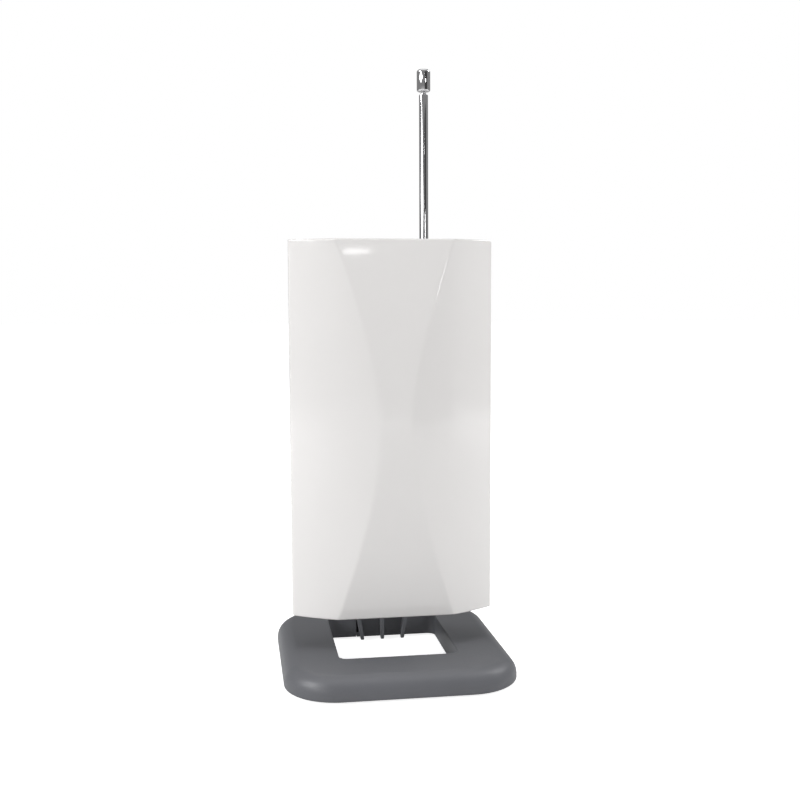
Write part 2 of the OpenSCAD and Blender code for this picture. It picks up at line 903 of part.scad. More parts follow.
// Flanged bush in the housing's top
module swivel_bush() {
    color(BASE_GREY)
        translate([rod_x, rod_y, 0])
            rotate_extrude()
                polygon([[swivel_d / 2 + running_fit, bush_bottom],
                    [bush_d / 2, bush_bottom],
                    [bush_d / 2, housing_top],
                    [bush_flange_d / 2, housing_top],
                    [bush_flange_d / 2, housing_top + bush_flange_t],
                    [swivel_d / 2 + running_fit, housing_top + bush_flange_t]]);
}

// Contact tag under the bush, with a tail that reaches the board
module contact_tag() {
    tail_w = 4;
    tag_z = bush_bottom - tag_t;
    tail_bottom = board_z + board_h - 4;
    color(BRASS)
        difference() {
            union() {
                translate([rod_x, rod_y, tag_z])
                    cylinder(h = tag_t, d = bush_d);
                translate([rod_x - tail_w / 2, board_front - tag_t, tag_z])
                    cube([tail_w, rod_y - board_front + tag_t, tag_t]);
                translate([rod_x - tail_w / 2, board_front - tag_t, tail_bottom])
                    cube([tail_w, tag_t, tag_z - tail_bottom + tag_t]);
            }
            translate([rod_x, rod_y, tag_z - 1])
                cylinder(h = 3, d = swivel_d + 0.6);
        }
}

// Swivel post: a shank in the bush, a flange and two ears for the fold pin
module swivel_post() {
    ear_in = root_t / 2 + ear_side_gap;
    ear_base = post_flange_z + post_flange_t;
    color(STEEL)
        translate([rod_x, rod_y, 0])
            difference() {
                union() {
                    translate([0, 0, shank_bottom])
                        cylinder(h = post_flange_z - shank_bottom + eps, d = swivel_d);
                    translate([0, 0, post_flange_z])
                        cylinder(h = post_flange_t, d = bush_flange_d - 1);
                    for (side = SIDES)
                        translate([side * (ear_in + ear_t / 2), 0, 0]) {
                            translate([-ear_t / 2, -root_r, ear_base - eps])
                                cube([ear_t, 2 * root_r, fold_z - ear_base + eps]);
                            translate([0, 0, fold_z])
                                rotate([0, 90, 0])
                                    cylinder(h = ear_t, r = root_r, center = true);
                        }
                }
                translate([-10, 0, fold_z])
                    rotate([0, 90, 0])
                        cylinder(h = 20, d = fold_pin_d);
                translate([0, 0, shank_bottom - 1])
                    cylinder(h = 7, d = screw_pilot);
            }
}

// Spring washer that presses the post down and gives the swivel its friction
module spring_washer() {
    color(STEEL)
        translate([rod_x, rod_y, shank_bottom])
            translate([0, 0, -washer_t])
                difference() {
                    cylinder(h = washer_t, d = bush_d - 0.6);
                    translate([0, 0, -1])
                        cylinder(h = washer_t + 2, d = screw_d + 0.2);
                }
}

// Screw that holds the washer on the post's shank
module swivel_screw() {
    color(STEEL)
        translate([rod_x, rod_y, shank_bottom - washer_t])
            mirror([0, 0, 1])
                pan_screw(6, head_d = swivel_screw_head);
}

// Riveted pin across the fork
module fold_pin() {
    half_l = root_t / 2 + ear_side_gap + ear_t;
    color(STEEL)
        translate([rod_x, rod_y, fold_z])
            rotate([0, 90, 0]) {
                cylinder(h = 2 * half_l, d = fold_pin_d, center = true);
                for (side = SIDES)
                    translate([0, 0, side * (half_l + 0.4)])
                        cylinder(h = 0.8, d = fold_pin_d + 1.8, center = true);
            }
}

// Rod root: a flat eye on the fold pin and a plug in the outer tube
module rod_root() {
    color(STEEL)
        translate([rod_x, rod_y, 0])
            difference() {
                union() {
                    translate([0, 0, fold_z])
                        rotate([0, 90, 0])
                            cylinder(h = root_t, r = root_r, center = true);
                    translate([-root_t / 2, -section_bore(1) / 2, fold_z])
                        cube([root_t, section_bore(1), tube_z - fold_z]);
                    translate([0, 0, tube_z - 1])
                        cylinder(h = 1, d = rod_d);
                    translate([0, 0, tube_z - eps])
                        cylinder(h = plug_l, d = section_bore(1));
                }
                translate([-5, 0, fold_z])
                    rotate([0, 90, 0])
                        cylinder(h = 10, d = fold_pin_d + 2 * running_fit);
            }
}

// One tube of the rod: a bore with an inward lip at its top and, inside another, a foot collar
module rod_tube(i) {
    bottom = i == 1 ? tube_z : nest_z;
    bore_r = section_bore(i) / 2;
    lip_r = section_d(i + 1) / 2 + running_fit;
    top = section_top(i);
    outer_r = section_d(i) / 2;
    collar_r = i == 1 ? outer_r : collar_d(i) / 2;
    color(STEEL)
        translate([rod_x, rod_y, 0])
            rotate_extrude()
                polygon([[bore_r, bottom],
                    [collar_r, bottom],
                    [collar_r, bottom + collar_l],
                    [outer_r, bottom + collar_l],
                    [outer_r, top - 0.4],
                    [outer_r - 0.15, top],
                    [lip_r, top],
                    [lip_r, top - lip_l],
                    [bore_r, top - lip_l]]);
}

// Solid innermost section
module rod_core() {
    color(STEEL)
        translate([rod_x, rod_y, 0]) {
            translate([0, 0, nest_z])
                cylinder(h = collar_l, d = collar_d(SECTIONS));
            translate([0, 0, nest_z + collar_l - eps])
                cylinder(h = cap_z + cap_h - 4 - nest_z - collar_l, d = section_d(SECTIONS));
        }
}

// Turned cap on the innermost section
module tip_cap() {
    r = cap_d / 2;
    bore_r = section_d(SECTIONS) / 2;
    round_r = 1.5;
    color(STEEL)
        translate([rod_x, rod_y, cap_z])
            difference() {
                rotate_extrude()
                    union() {
                        polygon([[0, 0], [r - 0.7, 0], [r, 1], [r, cap_h - round_r], [0, cap_h - round_r]]);
                        square([r - round_r, cap_h]);
                        translate([r - round_r, cap_h - round_r])
                            circle(round_r);
                    }
                translate([0, 0, -1])
                    cylinder(h = cap_h - 3 + eps, r = bore_r);
            }
}

base_frame();
base_plate();
rubber_feet();
plate_screws();
neck();
neck_foot_screws();
neck_head_screws();
front_cover();
rear_cover();
cover_screws();
circuit_housing();
housing_screws();
uhf_element();
signal_board();
shield_can();
balun_core();
board_screws();
coax_socket();
socket_insulator();
socket_washer();
socket_nut();
swivel_bush();
contact_tag();
swivel_post();
spring_washer();
swivel_screw();
fold_pin();
rod_root();
rod_tube(1);  // rod_tube_1
rod_tube(2);  // rod_tube_2
rod_tube(3);  // rod_tube_3
rod_tube(4);  // rod_tube_4
rod_core();
tip_cap();
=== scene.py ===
"""Looks of an indoor television antenna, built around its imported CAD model.

A gloss white faceted panel stands on a satin grey base frame, and a chrome telescopic rod
swivels and folds behind it. Metres, +Z up, +Y towards the back, origin on the floor.
"""

import json
import logging
import math
from contextlib import contextmanager
from dataclasses import dataclass
from enum import Enum
from typing import Callable, Iterator

import bmesh
import bpy
from mathutils import Matrix, Vector


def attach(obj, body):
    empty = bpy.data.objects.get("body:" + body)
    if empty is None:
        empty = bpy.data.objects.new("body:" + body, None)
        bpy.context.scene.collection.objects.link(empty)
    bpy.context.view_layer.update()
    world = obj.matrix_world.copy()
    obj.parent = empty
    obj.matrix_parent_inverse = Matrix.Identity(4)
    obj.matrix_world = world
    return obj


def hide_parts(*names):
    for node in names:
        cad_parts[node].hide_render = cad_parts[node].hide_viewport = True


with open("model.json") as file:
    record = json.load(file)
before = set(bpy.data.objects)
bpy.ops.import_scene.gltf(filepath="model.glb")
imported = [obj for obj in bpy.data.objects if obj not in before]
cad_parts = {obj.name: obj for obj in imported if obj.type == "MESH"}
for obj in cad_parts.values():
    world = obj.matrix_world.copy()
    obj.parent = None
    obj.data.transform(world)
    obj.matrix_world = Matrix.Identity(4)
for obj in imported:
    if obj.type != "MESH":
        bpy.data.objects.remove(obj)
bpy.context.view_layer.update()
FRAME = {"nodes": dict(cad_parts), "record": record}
LOG = logging.getLogger("antenna")

MM = 0.001
WELD = 1e-6
CLEAR = 1 * MM
UP = Vector((0, 0, 1))
BACK = Vector((0, 1, 0))
RIGHT = Vector((1, 0, 0))
WHITE = (1, 1, 1, 1)

Tone = tuple[float, float, float]
Place = tuple[float, float, float]
Profile = list[tuple[float, float]]


class Ride(Enum):
    """The bodies that the pieces ride on."""

    STAND = "stand"
    SWIVEL = "swivel"
    ROD_1 = "rod_1"
    ROD_2 = "rod_2"
    ROD_3 = "rod_3"
    ROD_4 = "rod_4"
    ROD_5 = "rod_5"


class Slot(Enum):
    """The record's material slots."""

    PANEL_WHITE = "panel_white"
    REAR_WHITE = "rear_white"
    BASE_GREY = "base_grey"
    BUSH_GREY = "bush_grey"
    ROD_CHROME = "rod_chrome"
    SWIVEL_METAL = "swivel_metal"
    SCREW_STEEL = "screw_steel"
    SPRING_STEEL = "spring_steel"
    PLATE_STEEL = "plate_steel"
    ELEMENT_TIN = "element_tin"
    CAN_TIN = "can_tin"
    SOCKET_NICKEL = "socket_nickel"
    TAG_BRASS = "tag_brass"
    BOARD_GREEN = "board_green"
    FERRITE = "ferrite"
    INSULATOR = "insulator"
    FOOT_RUBBER = "foot_rubber"


# Modelling by hand


def deselect() -> None:
    """Leaves nothing selected."""
    bpy.ops.object.select_all(action="DESELECT")


def make_active(piece: bpy.types.Object) -> None:
    """Selects one piece alone and makes it the active one.

    Args:
        piece: The piece.
    """
    deselect()
    piece.select_set(True)
    bpy.context.view_layer.objects.active = piece


@contextmanager
def editing(piece: bpy.types.Object, mode: str = "FACE") -> Iterator[None]:
    """Edit mode on one piece, with nothing selected at first.

    Args:
        piece: The piece to edit.
        mode: What is selected: VERT, EDGE or FACE.

    Returns:
        The context in which the piece is edited.
    """
    make_active(piece)
    bpy.ops.object.mode_set(mode="EDIT")
    bpy.ops.mesh.select_mode(type=mode)
    bpy.ops.mesh.select_all(action="DESELECT")
    yield
    bpy.ops.object.mode_set(mode="OBJECT")


def pick_faces(piece: bpy.types.Object, test: Callable[[bmesh.types.BMFace], bool]) -> None:
    """Selects, in edit mode, the faces that pass a test.

    Args:
        piece: The piece that is edited.
        test: A test on a face.
    """
    mesh = bmesh.from_edit_mesh(piece.data)
    mesh.normal_update()
    for face in mesh.faces:
        if test(face):
            face.select_set(True)
    bmesh.update_edit_mesh(piece.data)


def pick_edges(piece: bpy.types.Object, test: Callable[[Vector, Vector], bool]) -> None:
    """Selects, in edit mode, the edges whose two end points pass a test.

    Args:
        piece: The piece that is edited.
        test: A test on an edge's two end points.
    """
    mesh = bmesh.from_edit_mesh(piece.data)
    for edge in mesh.edges:
        if test(edge.verts[0].co, edge.verts[1].co):
            edge.select_set(True)
    bmesh.update_edit_mesh(piece.data)


def pick_all() -> None:
    """Selects the whole mesh in edit mode."""
    bpy.ops.mesh.select_all(action="SELECT")


def named(name: str) -> bpy.types.Object:
    """The piece that was added last, with its name.

    Args:
        name: Its name.

    Returns:
        The piece.
    """
    piece = bpy.context.object
    piece.name = piece.data.name = name
    return piece


def turned_along(place: Vector, way: Vector) -> Matrix:
    """The matrix that takes something to a place and turns its +Z along a way."""
    return Matrix.Translation(place) @ way.to_track_quat("Z", "Y").to_matrix().to_4x4()


def block(name: str, low: Vector | Place, high: Vector | Place) -> bpy.types.Object:
    """A box between two corners, as a start.

    Args:
        name: The piece's name.
        low: Its lowest corner.
        high: Its highest corner.

    Returns:
        The new piece, with its place in its mesh.
    """
    low, high = Vector(low), Vector(high)
    bpy.ops.mesh.primitive_cube_add(size=1, location=(low + high) / 2, scale=high - low)
    piece = named(name)
    bpy.ops.object.transform_apply(location=True, rotation=True, scale=True)
    return piece


def ring_start(name: str, points: list[Vector], filled: bool) -> bpy.types.Object:
    """A closed ring of points made from a circle, filled or open.

    Args:
        name: The piece's name.
        points: The ring's points, in order.
        filled: Whether the ring is a face.

    Returns:
        The new piece.
    """
    fill = "NGON" if filled else "NOTHING"
    bpy.ops.mesh.primitive_circle_add(vertices=len(points), radius=1, fill_type=fill)
    piece = named(name)
    for vertex, point in zip(piece.data.vertices, points):
        vertex.co = point
    return piece


def tidy_mesh(piece: bpy.types.Object) -> None:
    """Merges doubles, drops what is loose and turns the faces outwards.

    Args:
        piece: The piece to tidy.
    """
    with editing(piece, "VERT"):
        pick_all()
        bpy.ops.mesh.remove_doubles(threshold=WELD)
        bpy.ops.mesh.delete_loose(use_verts=True, use_edges=True, use_faces=False)
        pick_all()
        bpy.ops.mesh.normals_make_consistent(inside=False)


def turned(
    name: str,
    profile: Profile,
    foot: Vector,
    axis: Vector = UP,
    steps: int = 64,
) -> bpy.types.Object:
    """A turned solid: a closed profile spun about an axis.

    Args:
        name: The piece's name.
        profile: (radius, height) points of the closed profile.
        foot: The point on the axis at height 0.
        axis: The axis, pointing the way heights count.
        steps: Number of steps round.

    Returns:
        The new piece.
    """
    side = axis.orthogonal().normalized()
    points = [foot + side * radius + axis * height for radius, height in profile]
    piece = ring_start(name, points, filled=False)
    with editing(piece, "VERT"):
        pick_all()
        bpy.ops.mesh.spin(steps=steps, angle=2 * math.pi, center=foot, axis=axis)
    tidy_mesh(piece)
    return piece


def drum(
    name: str, radius: float, low: float, high: float, foot: Vector, axis: Vector = UP, steps: int = 64
) -> bpy.types.Object:
    """A plain round solid between two heights on an axis, as a pin or a drill."""
    return turned(name, [(0, low), (radius, low), (radius, high), (0, high)], foot, axis, steps)


def upright(a: Vector, b: Vector) -> bool:
    """Whether an edge between two points stands upright."""
    return abs(a.z - b.z) > 1 * MM


def lofted(name: str, rings: list[list[Vector]]) -> bpy.types.Object:
    """A solid drawn through rings of equally many points: each ring is an extrusion of the last.

    Args:
        name: The piece's name.
        rings: The rings, from one end cap to the other.

    Returns:
        The new piece.
    """
    piece = ring_start(name, rings[0], filled=True)
    with editing(piece, "FACE"):
        pick_all()
        for last, ring in zip(rings, rings[1:]):
            bpy.ops.mesh.extrude_region_move()
            mesh = bmesh.from_edit_mesh(piece.data)
            moved = [v for v in mesh.verts if v.select]
            for start, point in zip(last, ring):
                nearest = min(moved, key=lambda v: (v.co - start).length_squared)
                moved.remove(nearest)
                nearest.co = point
            bmesh.update_edit_mesh(piece.data)
    tidy_mesh(piece)
    return piece


def bevel_edges(
    piece: bpy.types.Object,
    test: Callable[[Vector, Vector], bool],
    width: float,
    segments: int,
    clamp: bool = False,
) -> None:
    """Rounds the edges whose ends pass a test.

    Args:
        piece: The piece to work on.
        test: A test on an edge's two end points.
        width: How far the rounding reaches from the edge.
        segments: Number of segments across it.
        clamp: Whether roundings stop where they meet.
    """
    with editing(piece, "EDGE"):
        pick_edges(piece, test)
        bpy.ops.mesh.bevel(offset=width, segments=segments, profile=0.5, affect="EDGES", clamp_overlap=clamp)


def apply(piece: bpy.types.Object, kind: str, **settings: object) -> None:
    """Adds a modifier of a kind with its settings and applies it.

    Args:
        piece: The piece to work on.
        kind: The modifier's type.
        settings: Its settings.
    """
    make_active(piece)
    modifier = piece.modifiers.new(kind.lower(), kind)
    for key, value in settings.items():
        setattr(modifier, key, value)
    bpy.ops.object.modifier_apply(modifier=modifier.name)


def combine(piece: bpy.types.Object, tools: list[bpy.types.Object], how: str = "DIFFERENCE") -> None:
    """Cuts tools from a piece, merges them into it or keeps what is in both, and removes the tools.

    Args:
        piece: The piece to work on.
        tools: The solids to cut with or to add.
        how: DIFFERENCE, UNION or INTERSECT.
    """
    for tool in tools:
        apply(piece, "BOOLEAN", operation=how, object=tool, solver="EXACT")
        bpy.data.objects.remove(tool)


def soften(piece: bpy.types.Object, width: float, segments: int = 2, angle: float = 35) -> None:
    """Rounds every sharp edge of a piece a little.

    Args:
        piece: The piece to work on.
        width: Width of the rounding.
        segments: Segments across it.
        angle: Edges sharper than this many degrees are rounded.
    """
    apply(
        piece,
        "BEVEL",
        width=width,
        segments=segments,
        limit_method="ANGLE",
        angle_limit=math.radians(angle),
        use_clamp_overlap=True,
        miter_outer="MITER_ARC",
    )


def shade(piece: bpy.types.Object, angle: float = 32, weighted: bool = True) -> None:
    """Smooth shading up to an angle, with large faces kept flat.

    Args:
        piece: The piece to shade.
        angle: Edges sharper than this many degrees stay sharp.
        weighted: Whether the normals follow the larger faces.
    """
    make_active(piece)
    bpy.ops.object.shade_smooth_by_angle(angle=math.radians(angle))
    if weighted:
        apply(piece, "WEIGHTED_NORMAL", keep_sharp=True, weight=60)


def joined(name: str, pieces: list[bpy.types.Object]) -> bpy.types.Object:
    """Several pieces as one piece with one mesh.

    Args:
        name: The joined piece's name.
        pieces: What is joined; the first one stays.

    Returns:
        The joined piece.
    """
    deselect()
    for piece in pieces:
        piece.select_set(True)
    bpy.context.view_layer.objects.active = pieces[0]
    bpy.ops.object.join()
    pieces[0].name = pieces[0].data.name = name
    return pieces[0]


def copy_moved(piece: bpy.types.Object, shift: Vector) -> bpy.types.Object:
    """A copy with its own mesh, moved by a shift.

    Args:
        piece: The piece to copy.
        shift: How far the copy is moved.

    Returns:
        The copy.
    """
    twin = piece.copy()
    twin.data = piece.data.copy()
    bpy.context.scene.collection.objects.link(twin)
    twin.data.transform(Matrix.Translation(shift))
    return twin


def mirrored(piece: bpy.types.Object) -> bpy.types.Object:
    """A copy on the other side of the middle, with its faces turned outwards.

    Args:
        piece: The piece to copy.

    Returns:
        The copy.
    """
    twin = copy_moved(piece, Vector())
    twin.data.transform(Matrix.Scale(-1, 4, RIGHT))
    twin.data.flip_normals()
    return twin


def rounded_outline(half_w: float, half_d: float, radius: float, steps: int) -> Profile:
    """Points of a rounded rectangle about the origin.

    Args:
        half_w: Half its width.
        half_d: Half its depth.
        radius: Its corner radius.
        steps: Steps round each corner.

    Returns:
        The points, anticlockwise from the right.
    """
    points = []
    for corner, (sx, sy) in enumerate(((1, 1), (-1, 1), (-1, -1), (1, -1))):
        for step in range(steps + 1):
            turn = (corner + step / steps) * math.pi / 2
            x, y = sx * (half_w - radius), sy * (half_d - radius)
            points.append((x + radius * math.cos(turn), y + radius * math.sin(turn)))
    return points


# Shader nodes and the groups that the finishes share


class Nodes:
    """Adds nodes to a tree and feeds them with sockets or plain values."""

    def __init__(self, tree: bpy.types.NodeTree) -> None:
        """Keeps the tree."""
        self.tree = tree

    def feed(self, target: bpy.types.NodeSocket, value: object) -> None:
        """Feeds an input with a socket or a plain value.

        Args:
            target: The input.
            value: What feeds it.
        """
        if isinstance(value, bpy.types.NodeSocket):
            self.tree.links.new(value, target)
        else:
            target.default_value = value

    def node(
        self, kind: str, inputs: dict[str | int, object] | None = None, **settings: object
    ) -> bpy.types.Node:
        """Adds a shader node.

        Args:
            kind: Its type, without ShaderNode in front.
            inputs: A socket or plain value for its inputs, by name or number.
            settings: Its settings, which are made before the inputs are fed.

        Returns:
            The node.
        """
        made = self.tree.nodes.new(f"ShaderNode{kind}")
        for key, value in settings.items():
            setattr(made, key, value)
        for key, value in (inputs or {}).items():
            self.feed(made.inputs[key], value)
        return made

    def math(self, operation: str, *operands: object, clamp: bool = False) -> bpy.types.NodeSocket:
        """The result of a math node fed by sockets or numbers."""
        made = self.node("Math", dict(enumerate(operands)), operation=operation, use_clamp=clamp)
        return made.outputs[0]

    def mix(self, mask: object, first: object, second: object, kind: str = "RGBA") -> bpy.types.NodeSocket:
        """Mixes two colours, or two numbers where the kind is FLOAT, by a mask."""
        made = self.node("Mix", {"Factor": mask, "A": first, "B": second}, data_type=kind)
        return made.outputs["Result"]


class GroupMaker(Nodes):
    """Builds a node group that works on a Vector input."""

    def __init__(self, name: str, **inputs: object) -> None:
        """Makes the group and its inputs.

        Args:
            name: The group's name.
            inputs: Each input's default, a number, vector or colour, with _ for a space in its name.
        """
        super().__init__(bpy.data.node_groups.new(name, "ShaderNodeTree"))
        self.socket("Vector", "INPUT", "Vector")
        for key, value in inputs.items():
            kind = "Float" if isinstance(value, float) else ("Vector", "Color")[len(value) - 3]
            self.socket(key, "INPUT", kind).default_value = value
        self.inputs = self.tree.nodes.new("NodeGroupInput").outputs

    def socket(self, key: str, way: str, kind: str) -> bpy.types.NodeTreeInterfaceSocket:
        """Adds an input or output to the group."""
        title = key.replace("_", " ")
        return self.tree.interface.new_socket(name=title, in_out=way, socket_type=f"NodeSocket{kind}")

    def noise(
        self, scale: str, detail: float, roughness: float = 0.5, place: bpy.types.NodeSocket | None = None
    ) -> bpy.types.NodeSocket:
        """Noise at a place.

        Args:
            scale: The input that gives its scale.
            detail: Its detail.
            roughness: How strong the finer detail is.
            place: Its place, which is the Vector input if none is given.

        Returns:
            The noise's factor.
        """
        values = {"Scale": self.inputs[scale], "Detail": detail, "Roughness": roughness}
        return self.node("TexNoise", {"Vector": place or self.inputs["Vector"], **values}).outputs["Fac"]

    def finished(self, **outputs: bpy.types.NodeSocket) -> bpy.types.NodeTree:
        """Gives the group its outputs.

        Args:
            outputs: What feeds each output, with _ for a space in its name.

        Returns:
            The group.
        """
        for key in outputs:
            self.socket(key, "OUTPUT", "Color" if key == "Color" else "Float")
        end = self.tree.nodes.new("NodeGroupOutput")
        for target, source in zip(end.inputs, outputs.values()):
            self.feed(target, source)
        return self.tree


def make_grain() -> bpy.types.NodeTree:
    """Fine moulded grain: pits of one size under a softer swell.

    Returns:
        The group.
    """
    group = GroupMaker("moulded_grain", Scale=2400.0, Swell_Scale=60.0, Swell=0.3)
    fine = group.noise("Scale", 3.0, 0.6)
    swell = group.math("MULTIPLY", group.noise("Swell Scale", 1.0), group.inputs["Swell"])
    height = group.math("ADD", fine, swell)
    return group.finished(Height=height, Roughness_Shift=group.math("SUBTRACT", fine, 0.5))


def make_drift() -> bpy.types.NodeTree:
    """Slow drift of a colour between two tones, as plastic flow or handling leaves it.

    Returns:
        The group.
    """
    group = GroupMaker("colour_drift", Scale=18.0, Tone=(0.8, 0.8, 0.8, 1), Second_Tone=(0.7, 0.7, 0.7, 1))
    spread = group.math("MULTIPLY_ADD", group.noise("Scale", 3.0), 2.4, -0.7, clamp=True)
    tone = group.mix(spread, group.inputs["Tone"], group.inputs["Second Tone"])
    return group.finished(Color=tone, Mask=spread)


def make_dust() -> bpy.types.NodeTree:
    """Dust that settles on faces that look up, in uneven patches.

    Returns:
        The group.
    """
    group = GroupMaker("settled_dust", Amount=0.1, Scale=90.0)
    normal = group.node("SeparateXYZ", {0: group.node("NewGeometry").outputs["Normal"]})
    facing = group.math("MULTIPLY_ADD", normal.outputs["Z"], 1.6, -0.6, clamp=True)
    patches = group.math("MULTIPLY", group.noise("Scale", 6.0, 0.7), facing)
    return group.finished(Mask=group.math("MULTIPLY", patches, group.inputs["Amount"]))


def make_wear() -> bpy.types.NodeTree:
    """Rubbed edges: a mask where the surface turns sharply outwards, broken up by noise.

    Returns:
        The group.
    """
    group = GroupMaker("rubbed_edges", Amount=0.3, Scale=240.0)
    pointed = group.node("NewGeometry").outputs["Pointiness"]
    sharp = group.math("MULTIPLY_ADD", pointed, 12.0, -6.3, clamp=True)
    broken = group.math("MULTIPLY", sharp, group.noise("Scale", 4.0))
    return group.finished(Mask=group.math("MULTIPLY", broken, group.inputs["Amount"]))


def make_brushing() -> bpy.types.NodeTree:
    """Fine lines along one direction, as rolling, drawing or turning leaves on metal.

    Returns:
        The group.
    """
    group = GroupMaker("drawn_lines", Stretch=(1.0, 1.0, 0.02), Scale=3000.0)
    stretched = {0: group.inputs["Vector"], 1: group.inputs["Stretch"]}
    place = group.node("VectorMath", stretched, operation="MULTIPLY").outputs[0]
    lines = group.noise("Scale", 3.0, place=place)
    return group.finished(Height=lines, Roughness_Shift=group.math("SUBTRACT", lines, 0.5))


GRAIN = make_grain()
DRIFT = make_drift()
DUST = make_dust()
WEAR = make_wear()
BRUSHING = make_brushing()


# Finishes


class MaterialMaker(Nodes):
    """A material and the inputs of its Principled BSDF."""

    def __init__(self, name: str) -> None:
        """Makes the material and finds its shader.

        Args:
            name: The material's name.
        """
        self.material = bpy.data.materials.new(name)
        self.material.use_nodes = True
        super().__init__(self.material.node_tree)
        self.shader = self.tree.nodes["Principled BSDF"]
        self.place: bpy.types.NodeSocket | None = None

    def group(self, tree: bpy.types.NodeTree, **values: object) -> bpy.types.NodeOutputs:
        """Adds a shared group on Object coordinates.

        Args:
            tree: The group.
            values: Its inputs, with _ for a space in their names.

        Returns:
            The group's outputs.
        """
        self.place = self.place or self.node("TexCoord").outputs["Object"]
        inputs = {key.replace("_", " "): value for key, value in values.items()}
        return self.node("Group", {"Vector": self.place, **inputs}, node_tree=tree).outputs

    def bump(self, height: bpy.types.NodeSocket, depth: float) -> bpy.types.NodeSocket:
        """A normal from a height whose unit is this deep, in metres."""
        return self.node("Bump", {"Distance": depth, "Height": height}).outputs["Normal"]

    def finished(self, **values: object) -> bpy.types.Material:
        """Feeds the shader's inputs.

        Args:
            values: A socket or plain value for each input, with _ for a space in its name.

        Returns:
            The material.
        """
        for key, value in values.items():
            self.feed(self.shader.inputs[key.replace("_", " ")], value)
        return self.material


@dataclass(frozen=True)
class MouldedPlastic:
    """Moulded plastic: a tone that drifts a little, a grain, dust on top and rubbed edges."""

    name: str
    tone: Tone
    second_tone: Tone
    roughness: float
    grain_scale: float = 2400.0
    grain_depth: float = 0.00001
    swell_scale: float = 60.0
    swell: float = 0.3
    roughness_spread: float = 0.1
    coat: float = 0.0
    coat_roughness: float = 0.05
    ior: float = 1.5
    dust: float = 0.1
    dust_tone: Tone = (0.5, 0.49, 0.47)
    dust_roughness: float = 0.8
    wear: float = 0.2
    wear_tone: Tone = (0.3, 0.3, 0.31)

    def material(self) -> bpy.types.Material:
        """Builds the finish's material.

        Returns:
            The material.
        """
        maker = MaterialMaker(self.name)
        drift = maker.group(DRIFT, Tone=(*self.tone, 1), Second_Tone=(*self.second_tone, 1))
        grain = maker.group(GRAIN, Scale=self.grain_scale, Swell_Scale=self.swell_scale, Swell=self.swell)
        dust = maker.group(DUST, Amount=self.dust)["Mask"]
        worn = maker.mix(maker.group(WEAR, Amount=self.wear)["Mask"], drift["Color"], (*self.wear_tone, 1))
        rough = maker.math("MULTIPLY_ADD", grain["Roughness Shift"], self.roughness_spread, self.roughness)
        return maker.finished(
            Base_Color=maker.mix(dust, worn, (*self.dust_tone, 1)),
            Roughness=maker.mix(dust, rough, self.dust_roughness, "FLOAT"),
            IOR=self.ior,
            Coat_Weight=self.coat,
            Coat_Roughness=self.coat_roughness,
            Normal=maker.bump(grain["Height"], self.grain_depth),
        )


@dataclass(frozen=True)
class Metal:
    """Bare or plated metal with drawn lines and a tone that drifts a little."""

    name: str
    tone: Tone
    second_tone: Tone
    roughness: float
    stretch: Place = (1.0, 1.0, 0.02)
    line_scale: float = 3000.0
    line_depth: float = 0.000004
    roughness_spread: float = 0.08
    drift_scale: float = 45.0
    dulling: float = 0.03

    def material(self) -> bpy.types.Material:
        """Builds the finish's material.

        Returns:
            The material.
        """
        maker = MaterialMaker(self.name)
        tones = {"Tone": (*self.tone, 1), "Second_Tone": (*self.second_tone, 1)}
        drift = maker.group(DRIFT, **tones, Scale=self.drift_scale)
        lines = maker.group(BRUSHING, Stretch=self.stretch, Scale=self.line_scale)
        rough = maker.math("MULTIPLY_ADD", lines["Roughness Shift"], self.roughness_spread, self.roughness)
        return maker.finished(
            Base_Color=drift["Color"],
            Metallic=1.0,
            Roughness=maker.mix(drift["Mask"], rough, self.roughness + self.dulling, "FLOAT"),
            Normal=maker.bump(lines["Height"], self.line_depth),
        )


